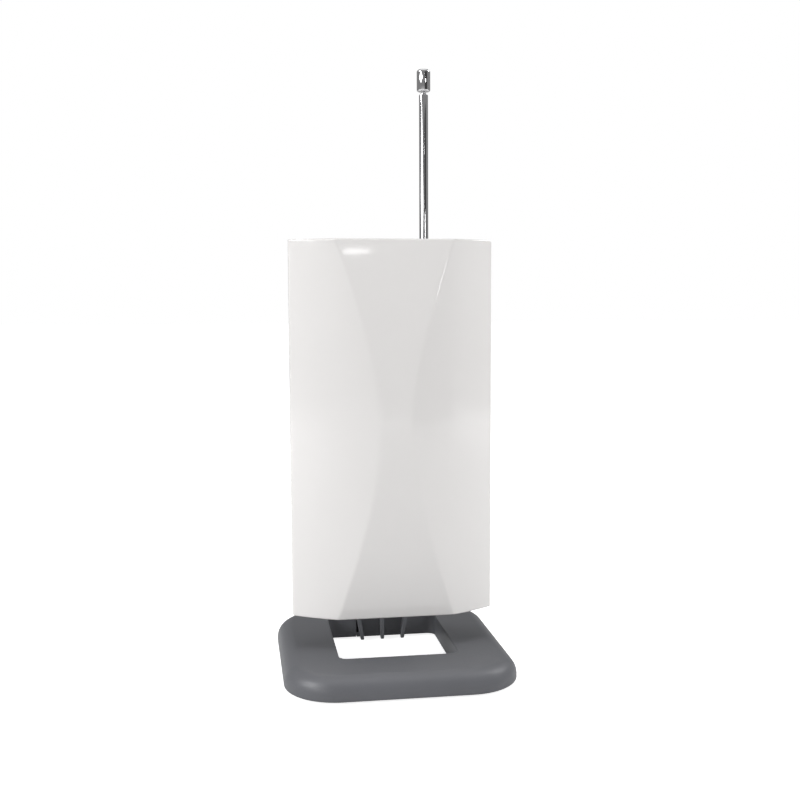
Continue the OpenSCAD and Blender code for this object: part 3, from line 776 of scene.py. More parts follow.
FINISHES = {
    Slot.PANEL_WHITE: MouldedPlastic(
        "gloss_white", (0.80, 0.785, 0.775), (0.785, 0.77, 0.76), 0.07, roughness_spread=0.04,
        grain_scale=1500.0, grain_depth=0.0000006, swell_scale=22.0, swell=60.0,
        coat=0.25, coat_roughness=0.03, dust=0.03, dust_tone=(0.7, 0.69, 0.67),
        wear=0.1, wear_tone=(0.86, 0.85, 0.84),
    ),
    Slot.REAR_WHITE: MouldedPlastic(
        "satin_white", (0.78, 0.765, 0.75), (0.76, 0.745, 0.73), 0.34, grain_scale=1900.0,
        dust=0.08, dust_tone=(0.66, 0.65, 0.62), wear=0.1, wear_tone=(0.85, 0.84, 0.82),
    ),
    Slot.BASE_GREY: MouldedPlastic(
        "satin_grey", (0.126, 0.129, 0.141), (0.117, 0.120, 0.130), 0.4, roughness_spread=0.14,
        grain_scale=1700.0, grain_depth=0.000012, ior=1.38, dust=0.06, dust_tone=(0.3, 0.3, 0.29),
        wear=0.25, wear_tone=(0.15, 0.155, 0.165),
    ),
    Slot.BUSH_GREY: MouldedPlastic(
        "bush_grey", (0.088, 0.09, 0.098), (0.075, 0.077, 0.083), 0.42,
        grain_scale=2600.0, grain_depth=0.000008,
    ),
    Slot.ROD_CHROME: Metal(
        "bright_chrome", (0.72, 0.72, 0.73), (0.69, 0.69, 0.70), 0.05,
        line_depth=0.0000001, roughness_spread=0.02,
    ),
    Slot.SWIVEL_METAL: Metal(
        "bright_nickel", (0.70, 0.69, 0.67), (0.64, 0.63, 0.61), 0.16, stretch=(1, 1, 1)
    ),
    Slot.SCREW_STEEL: Metal(
        "zinc_screw", (0.58, 0.58, 0.60), (0.48, 0.48, 0.50), 0.28, stretch=(1, 1, 1), line_scale=2500.0
    ),
    Slot.SPRING_STEEL: Metal(
        "spring_steel", (0.34, 0.35, 0.37), (0.26, 0.27, 0.29), 0.3, stretch=(1, 0.1, 1)
    ),
    Slot.PLATE_STEEL: Metal(
        "zinc_sheet", (0.55, 0.55, 0.56), (0.46, 0.47, 0.49), 0.34, roughness_spread=0.14,
        stretch=(0.03, 1, 1), line_scale=1600.0,
    ),
    Slot.ELEMENT_TIN: Metal(
        "tinned_sheet", (0.62, 0.62, 0.60), (0.54, 0.54, 0.53), 0.3, stretch=(1, 1, 0.03)
    ),
    Slot.CAN_TIN: Metal(
        "tinned_can", (0.64, 0.64, 0.62), (0.55, 0.55, 0.54), 0.26, stretch=(0.03, 1, 1)
    ),
    Slot.SOCKET_NICKEL: Metal(
        "socket_nickel", (0.68, 0.66, 0.61), (0.60, 0.58, 0.54), 0.2, stretch=(1, 0.05, 1)
    ),
    Slot.TAG_BRASS: Metal(
        "plain_brass", (0.74, 0.54, 0.25), (0.62, 0.44, 0.20), 0.3, stretch=(1, 0.05, 1)
    ),
    Slot.BOARD_GREEN: MouldedPlastic(
        "solder_mask", (0.02, 0.12, 0.05), (0.015, 0.09, 0.04), 0.3, coat=0.4, grain_depth=0.000004
    ),
    Slot.FERRITE: MouldedPlastic(
        "sintered_ferrite", (0.03, 0.03, 0.034), (0.02, 0.02, 0.023), 0.6, grain_depth=0.00003
    ),
    Slot.INSULATOR: MouldedPlastic("plain_insulator", (0.74, 0.72, 0.66), (0.70, 0.68, 0.62), 0.45),
    Slot.FOOT_RUBBER: MouldedPlastic(
        "matt_rubber", (0.022, 0.022, 0.023), (0.03, 0.03, 0.03), 0.78,
        grain_scale=3200.0, grain_depth=0.00003, dust=0.2, wear_tone=(0.05, 0.05, 0.05),
    ),
}


class Wardrobe:
    """Every finish's material, made once and given to pieces and CAD nodes."""

    def __init__(self) -> None:
        """Builds the materials."""
        self.materials = {slot: finish.material() for slot, finish in FINISHES.items()}

    def dress(self, piece: bpy.types.Object, slot: Slot) -> None:
        """Gives a piece the finish of a slot."""
        piece.data.materials.clear()
        piece.data.materials.append(self.materials[slot])

    def place(self, piece: bpy.types.Object, slot: Slot, body: Ride, *nodes: str) -> bpy.types.Object:
        """Finishes a piece: gives it the material of a slot, attaches it to its body and hides the CAD nodes
        that it stands for.

        Args:
            piece: The piece.
            slot: The slot of its finish.
            body: The body that it rides on.
            nodes: The CAD nodes that it replaces.

        Returns:
            The piece.
        """
        self.dress(piece, slot)
        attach(piece, body.value)
        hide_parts(*nodes)
        LOG.info("%s: %d faces on %s", piece.name, len(piece.data.polygons), body.value)
        return piece

    def dress_nodes(self) -> None:
        """Gives every CAD node that still shows the finish of its slot."""
        for row in FRAME["record"]["subparts"]:
            node = FRAME["nodes"][row["node"]]
            if not node.hide_render:
                self.dress(node, Slot(row["material_slot"]))
                LOG.info("%s: CAD node", row["node"])


# The panel


@dataclass
class Panel:
    """Front cover with its two wings and centre facet, and the flat rear cover."""

    wardrobe: Wardrobe
    half_w: float = 62 * MM
    bottom: float = 34.1 * MM
    top: float = 262.7 * MM
    apex_y: float = -33.2 * MM
    part_y: float = -8.49 * MM
    rear_y: float = -1.99 * MM
    waist_half: float = 10 * MM
    facet_sag: float = 8.2 * MM
    wing_r: float = 145 * MM
    wing_cross: float = 20.9 * MM
    crease_blend: float = 0.45 * MM
    crease_half: float = 1.9 * MM
    wall: float = 2.2 * MM
    edge_round: float = 0.8 * MM
    border: float = 1.2 * MM
    rear_chamfer: float = 4 * MM
    rear_corner: float = 0.8 * MM
    rear_soft: float = 0.35 * MM
    hollow_inset: float = 0.9 * MM
    seam: float = 0.3 * MM
    seam_near: float = 0.05 * MM
    border_near: float = 0.01 * MM
    rows: int = 56
    facet_columns: int = 12
    crease_columns: int = 6
    wing_columns: int = 20
    screw_x: float = 49 * MM
    screw_z: tuple[float, float] = (47.1 * MM, 249.7 * MM)
    recess_r: float = 3.2 * MM
    recess_depth: float = 2.6 * MM
    boss_r: float = 3.6 * MM
    boss_half: float = 2 * MM

    @property
    def mid_z(self) -> float:
        """Height of the panel's middle."""
        return (self.bottom + self.top) / 2

    @property
    def wing_back(self) -> float:
        """Distance of the wings' centres behind the foremost point."""
        return math.sqrt(self.wing_r**2 - (self.waist_half + self.wing_cross) ** 2)

    def wing_depth(self, x: float) -> float:
        """Depth of the wing's surface behind the foremost point."""
        return self.wing_back - math.sqrt(self.wing_r**2 - (abs(x) + self.wing_cross) ** 2)

    def facet_depth(self, z: float) -> float:
        """Depth of the centre facet behind the foremost point.

        Args:
            z: The height.

        Returns:
            The depth.
        """
        half_h = (self.top - self.bottom) / 2
        facet_r = (half_h**2 + self.facet_sag**2) / (2 * self.facet_sag)
        return facet_r - math.sqrt(facet_r**2 - (z - self.mid_z) ** 2)

    def crease_x(self, z: float) -> float:
        """Half width of the centre facet at a height."""
        reach = self.wing_back - self.facet_depth(z)
        return math.sqrt(self.wing_r**2 - reach**2) - self.wing_cross

    def depth(self, x: float, z: float) -> float:
        """Depth of the panel's front behind its foremost point, with a soft crease.

        Args:
            x: The place across.
            z: The height.

        Returns:
            The depth.
        """
        wing, facet = self.wing_depth(x), self.facet_depth(z)
        blend = max(self.crease_blend - abs(wing - facet), 0)
        return max(wing, facet) + blend**2 / (4 * self.crease_blend)

    def columns(self, z: float) -> list[float]:
        """Places of the grid's columns at a height, from left to right.

        Args:
            z: The height.

        Returns:
            The places across.
        """
        crease = self.crease_x(z)
        inner, outer = crease - self.crease_half, crease + self.crease_half
        half = [inner * 2 * i / self.facet_columns for i in range(self.facet_columns // 2)]
        half += [inner + (outer - inner) * i / self.crease_columns for i in range(self.crease_columns)]
        reach = self.half_w - self.border - outer
        half += [outer + reach * i / self.wing_columns for i in range(self.wing_columns + 1)]
        half.append(self.half_w)
        return [-x for x in reversed(half[1:])] + half

    def levels(self) -> list[float]:
        """Heights of the grid's rows, with a narrow one at each border so that shading stays flat there.

        Returns:
            The heights, from below.
        """
        low, high = self.bottom + self.border, self.top - self.border
        inner = [low + (high - low) * i / self.rows for i in range(self.rows + 1)]
        return [self.bottom] + inner + [self.top]

    def front(self) -> bpy.types.Object:
        """Front cover: a grid laid on the panel's form, drawn back to the parting line and thickened.

        Returns:
            The cover.
        """
        levels = self.levels()
        places = [(x, z) for z in levels for x in self.columns(z)]
        count = len(places) // len(levels)
        bpy.ops.mesh.primitive_grid_add(x_subdivisions=count - 1, y_subdivisions=len(levels) - 1, size=2)
        cover = named("panel_front_cover")
        for vertex, (x, z) in zip(cover.data.vertices, places):
            vertex.co = (x, self.apex_y + self.depth(x, z), z)
        with editing(cover, "VERT"):
            pick_all()
            bpy.ops.mesh.region_to_loop()
            bpy.ops.mesh.extrude_region_move()
            mesh = bmesh.from_edit_mesh(cover.data)
            for vertex in mesh.verts:
                if vertex.select:
                    vertex.co.y = self.part_y
            bmesh.update_edit_mesh(cover.data)
        tidy_mesh(cover)
        self.face_front(cover)
        bevel_edges(cover, self.on_border, self.edge_round, 3)
        apply(cover, "SOLIDIFY", thickness=self.wall, offset=-1, use_even_offset=True)
        bevel_edges(cover, self.on_seam, self.seam, 2)
        shade(cover, 30, weighted=False)
        return self.wardrobe.place(cover, Slot.PANEL_WHITE, Ride.STAND, "front_cover")

    def face_front(self, cover: bpy.types.Object) -> None:
        """Turns the open cover's faces to the front and outwards.

        Args:
            cover: The cover, before it is thickened.
        """
        with editing(cover):
            pick_all()
            mesh = bmesh.from_edit_mesh(cover.data)
            nose = Vector((0, self.apex_y, self.mid_z))
            middle = min(mesh.faces, key=lambda face: (face.calc_center_median() - nose).length)
            if middle.normal.y > 0:
                bpy.ops.mesh.flip_normals()

    def on_border(self, a: Vector, b: Vector) -> bool:
        """Whether an edge is on the front's border, or is an upright corner of its sides.

        Args:
            a: The edge's one end.
            b: Its other end.

        Returns:
            Whether it is.
        """
        near = self.border_near
        rims = [
            lambda p: abs(abs(p.x) - self.half_w) < near,
            lambda p: abs(p.z - self.bottom) < near,
            lambda p: abs(p.z - self.top) < near,
        ]
        at_front = a.y < self.part_y - near and b.y < self.part_y - near
        on_one = any(rim(a) and rim(b) for rim in rims)
        corner = all(rims[0](p) and (rims[1](p) or rims[2](p)) for p in (a, b))
        return corner or (at_front and on_one)

    def on_seam(self, a: Vector, b: Vector) -> bool:
        """Whether an edge is on the parting line's outer rim.

        Args:
            a: The edge's one end.
            b: Its other end.

        Returns:
            Whether it is.
        """
        near = self.seam_near
        reach = self.edge_round + near

        def outside(p: Vector) -> bool:
            """Whether a point is on the outline.

            Args:
                p: The point.

            Returns:
                Whether it is.
            """
            wide = abs(p.x) > self.half_w - reach
            tall = not self.bottom + reach <= p.z <= self.top - reach
            return (wide or tall) and abs(p.y - self.part_y) < near

        return outside(a) and outside(b)

    def rear(self) -> bpy.types.Object:
        """Rear cover: a chamfered plate, hollow in front, with recesses for its screws.

        Returns:
            The cover.
        """
        half_h = (self.top - self.bottom) / 2

        def ring(y: float, inset: float) -> list[Vector]:
            """One rounded outline of the plate."""
            outline = rounded_outline(self.half_w - inset, half_h - inset, self.rear_corner, 3)
            return [Vector((x, y, self.mid_z + z)) for x, z in outline]

        steps = (
            (self.rear_y - self.wall, self.wall + self.hollow_inset),
            (self.part_y, self.wall),
            (self.part_y, self.seam),
            (self.part_y + self.seam, 0),
            (self.rear_y - self.rear_chamfer, 0),
            (self.rear_y, self.rear_chamfer),
        )
        plate = lofted("panel_rear_cover", [ring(y, inset) for y, inset in steps])
        recesses = []
        for x in (-self.screw_x, self.screw_x):
            for z in self.screw_z:
                foot = Vector((x, self.rear_y - self.recess_depth, z))
                boss = drum("boss", self.boss_r, -self.boss_half, self.boss_half, foot, BACK)
                combine(plate, [boss], "UNION")
                recesses.append(drum("recess", self.recess_r, 0, self.recess_depth + CLEAR, foot, BACK))
        combine(plate, recesses)
        soften(plate, self.rear_soft, 2, 25)
        shade(plate)
        return self.wardrobe.place(plate, Slot.REAR_WHITE, Ride.STAND, "rear_cover")

    def build(self) -> None:
        """Builds both covers."""
        self.front()
        self.rear()


# The rear housing


@dataclass
class Housing:
    """Housing for the circuit on the rear cover, with its flanges, holes and coaxial socket."""

    wardrobe: Wardrobe
    half_w: float = 46 * MM
    front_y: float = -1.99 * MM
    back_y: float = 24.21 * MM
    bottom: float = 74.1 * MM
    top: float = 194.1 * MM
    corner_r: float = 7 * MM
    chamfer: float = 8 * MM
    wall: float = 2.2 * MM
    flange_x: float = 55 * MM
    flange_t: float = 2.4 * MM
    flange_inset: float = 6 * MM
    flange_root: float = 2 * MM
    flange_corner: float = 3 * MM
    flange_hole_x: float = 50 * MM
    flange_hole_inset: float = 18 * MM
    flange_hole_r: float = 1.7 * MM
    post_r: float = 4 * MM
    post_l: float = 6.5 * MM
    recess_r: float = 3.2 * MM
    recess_depth: float = 2.6 * MM
    slot_h: float = 6 * MM
    neck_half: tuple[float, float] = (20.15 * MM, 6.15 * MM)
    neck_y: float = 11.21 * MM
    neck_screw: tuple[float, float] = (8 * MM, 90.1 * MM)
    bush: tuple[float, float] = (24.5 * MM, 15.21 * MM)
    bush_r: float = 5 * MM
    socket: tuple[float, float] = (-27 * MM, 129.1 * MM)
    socket_hole_r: float = 4.9 * MM
    socket_foot_y: float = 9.81 * MM
    socket_foot: tuple[float, float] = (6 * MM, 12.2 * MM)
    thread_r: float = 4.75 * MM
    thread_root: float = 4.35 * MM
    thread_pitch: float = 0.79 * MM
    barrel_inner: float = 4.2 * MM
    thread_start: float = 18.1 * MM
    thread_end: float = 25 * MM
    barrel_bore: float = 3.5 * MM
    nut_flat: float = 6.35 * MM
    nut_bore: float = 4.8 * MM
    nut_y: tuple[float, float] = (0.5 * MM, 2.9 * MM)
    washer_r: float = 7.15 * MM

    def shell(self) -> bpy.types.Object:
        """The moulded housing.

        Returns:
            The housing.
        """
        low = (-self.half_w, self.front_y, self.bottom)
        body = block("circuit_housing_shell", low, (self.half_w, self.back_y, self.top))
        back = self.back_y - CLEAR
        bevel_edges(body, lambda a, b: min(a.y, b.y) > back and abs(a.x - b.x) < WELD, self.corner_r, 10)
        with editing(body):
            pick_all()
            bpy.ops.mesh.bisect(
                plane_co=(0, self.back_y - self.chamfer, self.bottom),
                plane_no=(0, 1, -1),
                use_fill=True,
                clear_outer=True,
            )
        with editing(body):
            pick_faces(body, lambda f: f.normal.y < -0.9)
            bpy.ops.mesh.delete(type="FACE")
        apply(body, "SOLIDIFY", thickness=self.wall, offset=-1, use_even_offset=True)
        flange = self.flange()
        extras = [flange, mirrored(flange)]
        for side in (-1, 1):
            foot = Vector((side * self.neck_screw[0], self.back_y, self.neck_screw[1]))
            extras.append(drum("post", self.post_r, -self.post_l, -CLEAR, foot, BACK))
        combine(body, extras, "UNION")
        combine(body, self.cutters())
        soften(body, 0.5 * MM, 2, 32)
        shade(body)
        return self.wardrobe.place(body, Slot.REAR_WHITE, Ride.STAND, "circuit_housing")

    def flange(self) -> bpy.types.Object:
        """The flange on the right, with rounded outer corners; its two screw holes are drilled later with
        the housing's other holes.

        Returns:
            The flange.
        """
        low, high = self.bottom + self.flange_inset, self.top - self.flange_inset
        corner = (self.flange_x, self.front_y + self.flange_t, high)
        ear = block("flange", (self.half_w - self.flange_root, self.front_y, low), corner)
        edge = self.flange_x - WELD
        bevel_edges(ear, lambda a, b: min(a.x, b.x) > edge and abs(a.z - b.z) < WELD, self.flange_corner, 6)
        return ear

    def cutters(self) -> list[bpy.types.Object]:
        """What is cut out of the housing: the neck's slot and the holes for screws, bush and socket.

        Returns:
            The tools.
        """
        half_x, half_y = self.neck_half
        low = (-half_x, self.neck_y - half_y, self.bottom - CLEAR)
        slot = block("slot", low, (half_x, self.neck_y + half_y, self.bottom + self.slot_h))
        screw_x, screw_z = self.neck_screw
        low_z, high_z = self.bottom + self.flange_hole_inset, self.top - self.flange_hole_inset
        socket_x, socket_z = self.socket
        drills = []
        for side in (-1, 1):
            recess = (side * screw_x, self.back_y - self.recess_depth, screw_z)
            drills.append((recess, BACK, self.recess_r, 4 * MM))
            for z in (low_z, high_z):
                foot = (side * self.flange_hole_x, self.front_y - CLEAR, z)
                drills.append((foot, BACK, self.flange_hole_r, 6 * MM))
        drills.append(((*self.bush, self.top - 8 * MM), UP, self.bush_r, 10 * MM))
        drills.append(((socket_x, self.back_y - 5 * MM, socket_z), BACK, self.socket_hole_r, 8 * MM))
        holes = [drum("drill", r, 0, depth, Vector(foot), axis, 40) for foot, axis, r, depth in drills]
        return [slot] + holes

    def socket_barrel(self) -> bpy.types.Object:
        """Threaded barrel of the coaxial socket, with its square foot.

        Returns:
            The barrel and its foot.
        """
        foot = Vector((self.socket[0], self.socket_foot_y, self.socket[1]))
        radius, root, bore, pitch = self.thread_r, self.thread_root, self.barrel_bore, self.thread_pitch
        inner, start, end = self.barrel_inner, self.thread_start, self.thread_end
        profile = [(bore, inner), (root, inner), (root, start)]
        for turn in range(int((end - start) / pitch)):
            low = start + turn * pitch
            profile += [(radius, low + 0.22 * pitch), (radius, low + 0.45 * pitch)]
            profile.append((root, low + 0.72 * pitch))
        profile += [(root, end - 0.5 * MM), (root - 0.1 * MM, end)]
        profile += [(bore + 0.25 * MM, end), (bore, end - 0.3 * MM)]
        barrel = turned("barrel", profile, foot, BACK, 48)
        half, length = self.socket_foot
        body = block("body", foot - Vector((half, 0, half)), foot + Vector((half, length, half)))
        soften(body, 0.4 * MM)
        socket = joined("coax_socket_barrel", [barrel, body])
        shade(socket, 25)
        return self.wardrobe.place(socket, Slot.SOCKET_NICKEL, Ride.STAND, "coax_socket")

    def socket_nut(self) -> bpy.types.Object:
        """Hexagonal nut with chamfered corners and its washer.

        Returns:
            The nut and its washer.
        """
        foot = Vector((self.socket[0], self.back_y, self.socket[1]))
        corner = self.nut_flat / math.cos(math.pi / 6)
        start, end = self.nut_y
        bore, rim = self.nut_bore, self.washer_r

        def ring(height: float, radius: float) -> list[Vector]:
            """A hexagon about the socket's axis."""
            turns = [i * math.pi / 3 for i in range(6)]
            return [foot + Vector((radius * math.cos(t), height, radius * math.sin(t))) for t in turns]

        nut = lofted("nut", [ring(start, corner), ring(end, corner)])
        cone = [(0, -1 * MM), (9 * MM, -1 * MM), (9 * MM, 1.4 * MM), (corner - 0.75 * MM, end), (0, end)]
        combine(nut, [turned("cone", cone, foot, BACK, 48)], "INTERSECT")
        combine(nut, [drum("bore", bore, 0, end + CLEAR, foot, BACK, 48)])
        soften(nut, 0.15 * MM)
        disc = [(bore, 0), (rim, 0), (rim, start - 0.1 * MM), (rim - 0.15 * MM, start), (bore, start)]
        washer = turned("washer", disc, foot, BACK)
        pair = joined("coax_socket_nut", [nut, washer])
        shade(pair, 25)
        return self.wardrobe.place(pair, Slot.SOCKET_NICKEL, Ride.STAND, "socket_nut", "socket_washer")

    def build(self) -> None:
        """Builds the housing and its socket."""
        self.shell()
        self.socket_barrel()
        self.socket_nut()


# The base frame and the neck


@dataclass
class BaseFrame:
    """Moulded base frame with its opening, and the feet below."""

    wardrobe: Wardrobe
    half_w: float = 69.5 * MM
    half_d: float = 75 * MM
    bottom: float = 1.2 * MM
    top: float = 14.5 * MM
    corner_r: float = 32 * MM
    edge_r: float = 10 * MM
    lower_r: float = 1.6 * MM
    opening_half_w: float = 36 * MM
    opening_front: float = -37.7 * MM
    opening_back: float = 45.8 * MM
    opening_r: float = 5 * MM
    opening_lip: float = 0.7 * MM
    wall: float = 2.6 * MM
    island_wall: float = 1.6 * MM
    plate_top: float = 3.8 * MM
    neck_y: tuple[float, float] = (44.85 * MM, 57.15 * MM)
    notch_half: float = 16.85 * MM
    lip_near: float = 0.02 * MM
    foot_place: tuple[float, float] = (48.5 * MM, 54 * MM)
    foot_r: float = 6 * MM
    foot_top: float = 1.8 * MM

    def shell(self) -> bpy.types.Object:
        """The frame's shell.

        Returns:
            The shell.
        """
        corner = (self.half_w, self.half_d, self.top)
        body = block("base_frame_shell", (-self.half_w, -self.half_d, self.bottom), corner)
        low, high = self.bottom - CLEAR, self.top + CLEAR
        bevel_edges(body, upright, self.corner_r, 20)
        bevel_edges(body, lambda a, b: min(a.z, b.z) > self.top - WELD, self.edge_r, 12)
        bevel_edges(body, lambda a, b: max(a.z, b.z) < self.bottom + WELD, self.lower_r, 4)
        combine(body, [self.slab("opening", 0, low, high)])
        combine(body, [self.plate_seat()])
        front, back = self.neck_y
        combine(body, [block("notch", (-self.notch_half, front, low), (self.notch_half, back, high))])
        bevel_edges(body, self.on_lip, self.opening_lip, 3, clamp=True)
        shade(body)
        return self.wardrobe.place(body, Slot.BASE_GREY, Ride.STAND, "base_frame")

    def slab(self, name: str, grow: float, low: float, high: float) -> bpy.types.Object:
        """An upright block with the opening's outline.

        Args:
            name: The block's name.
            grow: How far it reaches past the opening.
            low: Height of its foot.
            high: Height of its top.

        Returns:
            The block.
        """
        half = self.opening_half_w + grow
        tool = block(name, (-half, self.opening_front - grow, low), (half, self.opening_back + grow, high))
        bevel_edges(tool, upright, self.opening_r + grow, 8)
        return tool

    def plate_seat(self) -> bpy.types.Object:
        """The hollow below the frame that takes the plate.

        Returns:
            The hollow's shape.
        """
        x, y = self.half_w - self.wall, self.half_d - self.wall
        seat = block("seat", (-x, -y, self.bottom - CLEAR), (x, y, self.plate_top))
        bevel_edges(seat, upright, self.corner_r - self.wall, 16)
        island = self.slab("island", self.island_wall, self.bottom - 2 * CLEAR, self.plate_top + CLEAR)
        combine(seat, [island])
        return seat

    def on_lip(self, a: Vector, b: Vector) -> bool:
        """Whether an edge is on the opening's upper rim, away from the neck.

        Args:
            a: The edge's one end.
            b: Its other end.

        Returns:
            Whether it is.
        """
        near = self.lip_near
        for point in (a, b):
            inside = abs(point.x) < self.opening_half_w + near
            inside = inside and self.opening_front - near < point.y < self.opening_back + near
            if not inside or abs(point.z - self.top) > near:
                return False
        at_neck = max(abs(a.x), abs(b.x)) < self.notch_half + 0.15 * MM
        return not (min(a.y, b.y) > self.opening_back - near and at_neck)

    def feet(self) -> bpy.types.Object:
        """Four ribbed rubber feet.

        Returns:
            The feet.
        """
        r = self.foot_r
        groove = 0.25 * MM
        ribs = ((0, groove), (2.2, groove), (2.5, 0), (3.3, 0), (3.6, groove), (4.2, groove), (4.5, 0))
        profile = [(radius * MM, height) for radius, height in ribs]
        profile += [(r - 0.5 * MM, 0), (r - 0.15 * MM, 0.15 * MM)]
        profile += [(r, 0.5 * MM), (r, self.foot_top), (0, self.foot_top)]
        x, y = self.foot_place
        first = turned("foot", profile, Vector((x, y, 0)), UP, 48)
        shifts = [Vector((-2 * x, 0, 0)), Vector((0, -2 * y, 0)), Vector((-2 * x, -2 * y, 0))]
        feet = joined("base_feet", [first] + [copy_moved(first, shift) for shift in shifts])
        shade(feet, 30, weighted=False)
        return self.wardrobe.place(feet, Slot.FOOT_RUBBER, Ride.STAND, "rubber_feet")

    def build(self) -> None:
        """Builds the frame and its feet."""
        self.shell()
        self.feet()


@dataclass
class Neck:
    """Bent neck from the base frame to the housing, with three ribs under its foot."""

    wardrobe: Wardrobe
    foot_y: float = 51 * MM
    head_y: float = 11.21 * MM
    foot_z: float = 3.8 * MM
    bend_z: float = 22.365 * MM
    head_z: float = 73.1 * MM
    head_top: float = 106.1 * MM
    width: float = 40 * MM
    foot_w: float = 28.8 * MM
    flare: float = math.radians(9)
    thick: float = 12 * MM
    bend_r: float = 24 * MM
    lean: float = math.radians(60)
    corner: float = 1.4 * MM
    lip_wider: float = 2.2 * MM
    lip_t: float = 2 * MM
    lip_down: float = 2.4 * MM
    lip_up: float = 0.5 * MM
    rib_t: float = 2.4 * MM
    rib_proud: float = 6.4 * MM
    rib_round: float = 0.5 * MM
    steps: int = 14

    def line(self) -> list[tuple[float, float, float]]:
        """Middle line seen from the side, as (y, z, lean), from the foot to the head.

        Returns:
            The points.
        """
        turns = [self.lean * k / self.steps for k in range(self.steps + 1)]
        line = [(self.foot_y, z, 0.0) for z in (self.foot_z, 8 * MM, 14.5 * MM)]
        bend = [(self.bend_r * (1 - math.cos(turn)), self.bend_r * math.sin(turn), turn) for turn in turns]
        line += [(self.foot_y - y, self.bend_z + z, turn) for y, z, turn in bend]
        line += [(self.head_y + y, self.head_z - z, turn) for y, z, turn in reversed(bend)]
        return line + [(self.head_y, self.head_top, 0.0)]

    def half_width(self, z: float) -> float:
        """Half the neck's width at a height."""
        return min(self.width / 2, self.foot_w / 2 + z * math.tan(self.flare))

    def body(self) -> bpy.types.Object:
        """The neck itself, drawn along its middle line.

        Returns:
            The neck without its ribs.
        """
        outline = rounded_outline(1, self.thick / 2, self.corner, 4)
        rings = []
        for y, z, lean in self.line():
            ring = []
            for across, shift in outline:
                point_y = y + shift * math.cos(lean)
                point_z = z + shift * math.sin(lean)
                inset = 1 - abs(across)
                point_x = math.copysign(self.half_width(point_z) - inset, across)
                ring.append(Vector((point_x, point_y, point_z)))
            rings.append(ring)
        body = lofted("neck_body", rings)
        soften(body, 0.6 * MM, 2, 50)
        front = self.foot_y - self.thick / 2
        half = self.foot_w / 2 + self.lip_wider
        corner = (half, front + self.lip_t, self.foot_z + self.lip_up)
        combine(body, [block("neck_lip", (-half, front, self.foot_z - self.lip_down), corner)], "UNION")
        shade(body, 30)
        return body

    def rib(self, side: int) -> bpy.types.Object:
        """One rib under the neck.

        Args:
            side: -1, 0 or 1, from left to right.

        Returns:
            The rib.
        """
        nose = self.foot_y - self.thick / 2
        root, front = nose + 1 * MM, nose - self.rib_proud
        near, far = self.thick / 2 - 1 * MM, self.thick / 2 + self.rib_proud
        pairs = [
            ((root, 5.0 * MM), (front + 3 * MM, 5.0 * MM)),
            ((root, 6.5 * MM), (front + 0.2 * MM, 1.0 * MM)),
            ((root, 8 * MM), (front, 2.4 * MM)),
            ((root, 14.5 * MM), (front, 12 * MM)),
        ]
        for y, z, lean in self.line()[3 : 5 + self.steps]:
            down_y, down_z = math.cos(lean), math.sin(lean)
            pairs.append(tuple((y - reach * down_y, z - reach * down_z) for reach in (near, far)))
        end_y, end_z = pairs.pop()[0]
        pairs.append(((end_y, end_z), (end_y - 0.2 * MM, end_z - 0.2 * MM)))
        half, round_r = self.rib_t / 2, self.rib_round
        rings = []
        for inner, outer in pairs:
            step = Vector(outer) - Vector(inner)
            inward = step.normalized() * round_r if step.length > 2 * round_r else Vector((0, 0))
            back = Vector(outer) - inward
            flank = [(inner, half), (back, half), (outer, half - round_r)]
            outline = flank + [(place, -shift) for place, shift in reversed(flank)]
            spread = [side * (self.half_width(z) - half) for (_, z), _ in outline]
            rings.append([Vector((x + shift, y, z)) for x, ((y, z), shift) in zip(spread, outline)])
        rib = lofted(f"neck_rib_{side + 2}", rings)
        shade(rib, 40)
        return rib

    def build(self) -> None:
        """Builds the neck with its ribs as one moulding."""
        pieces = [self.body()] + [self.rib(side) for side in (-1, 0, 1)]
        neck = joined("neck_moulding", pieces)
        self.wardrobe.place(neck, Slot.BASE_GREY, Ride.STAND, "neck")


# The telescopic rod


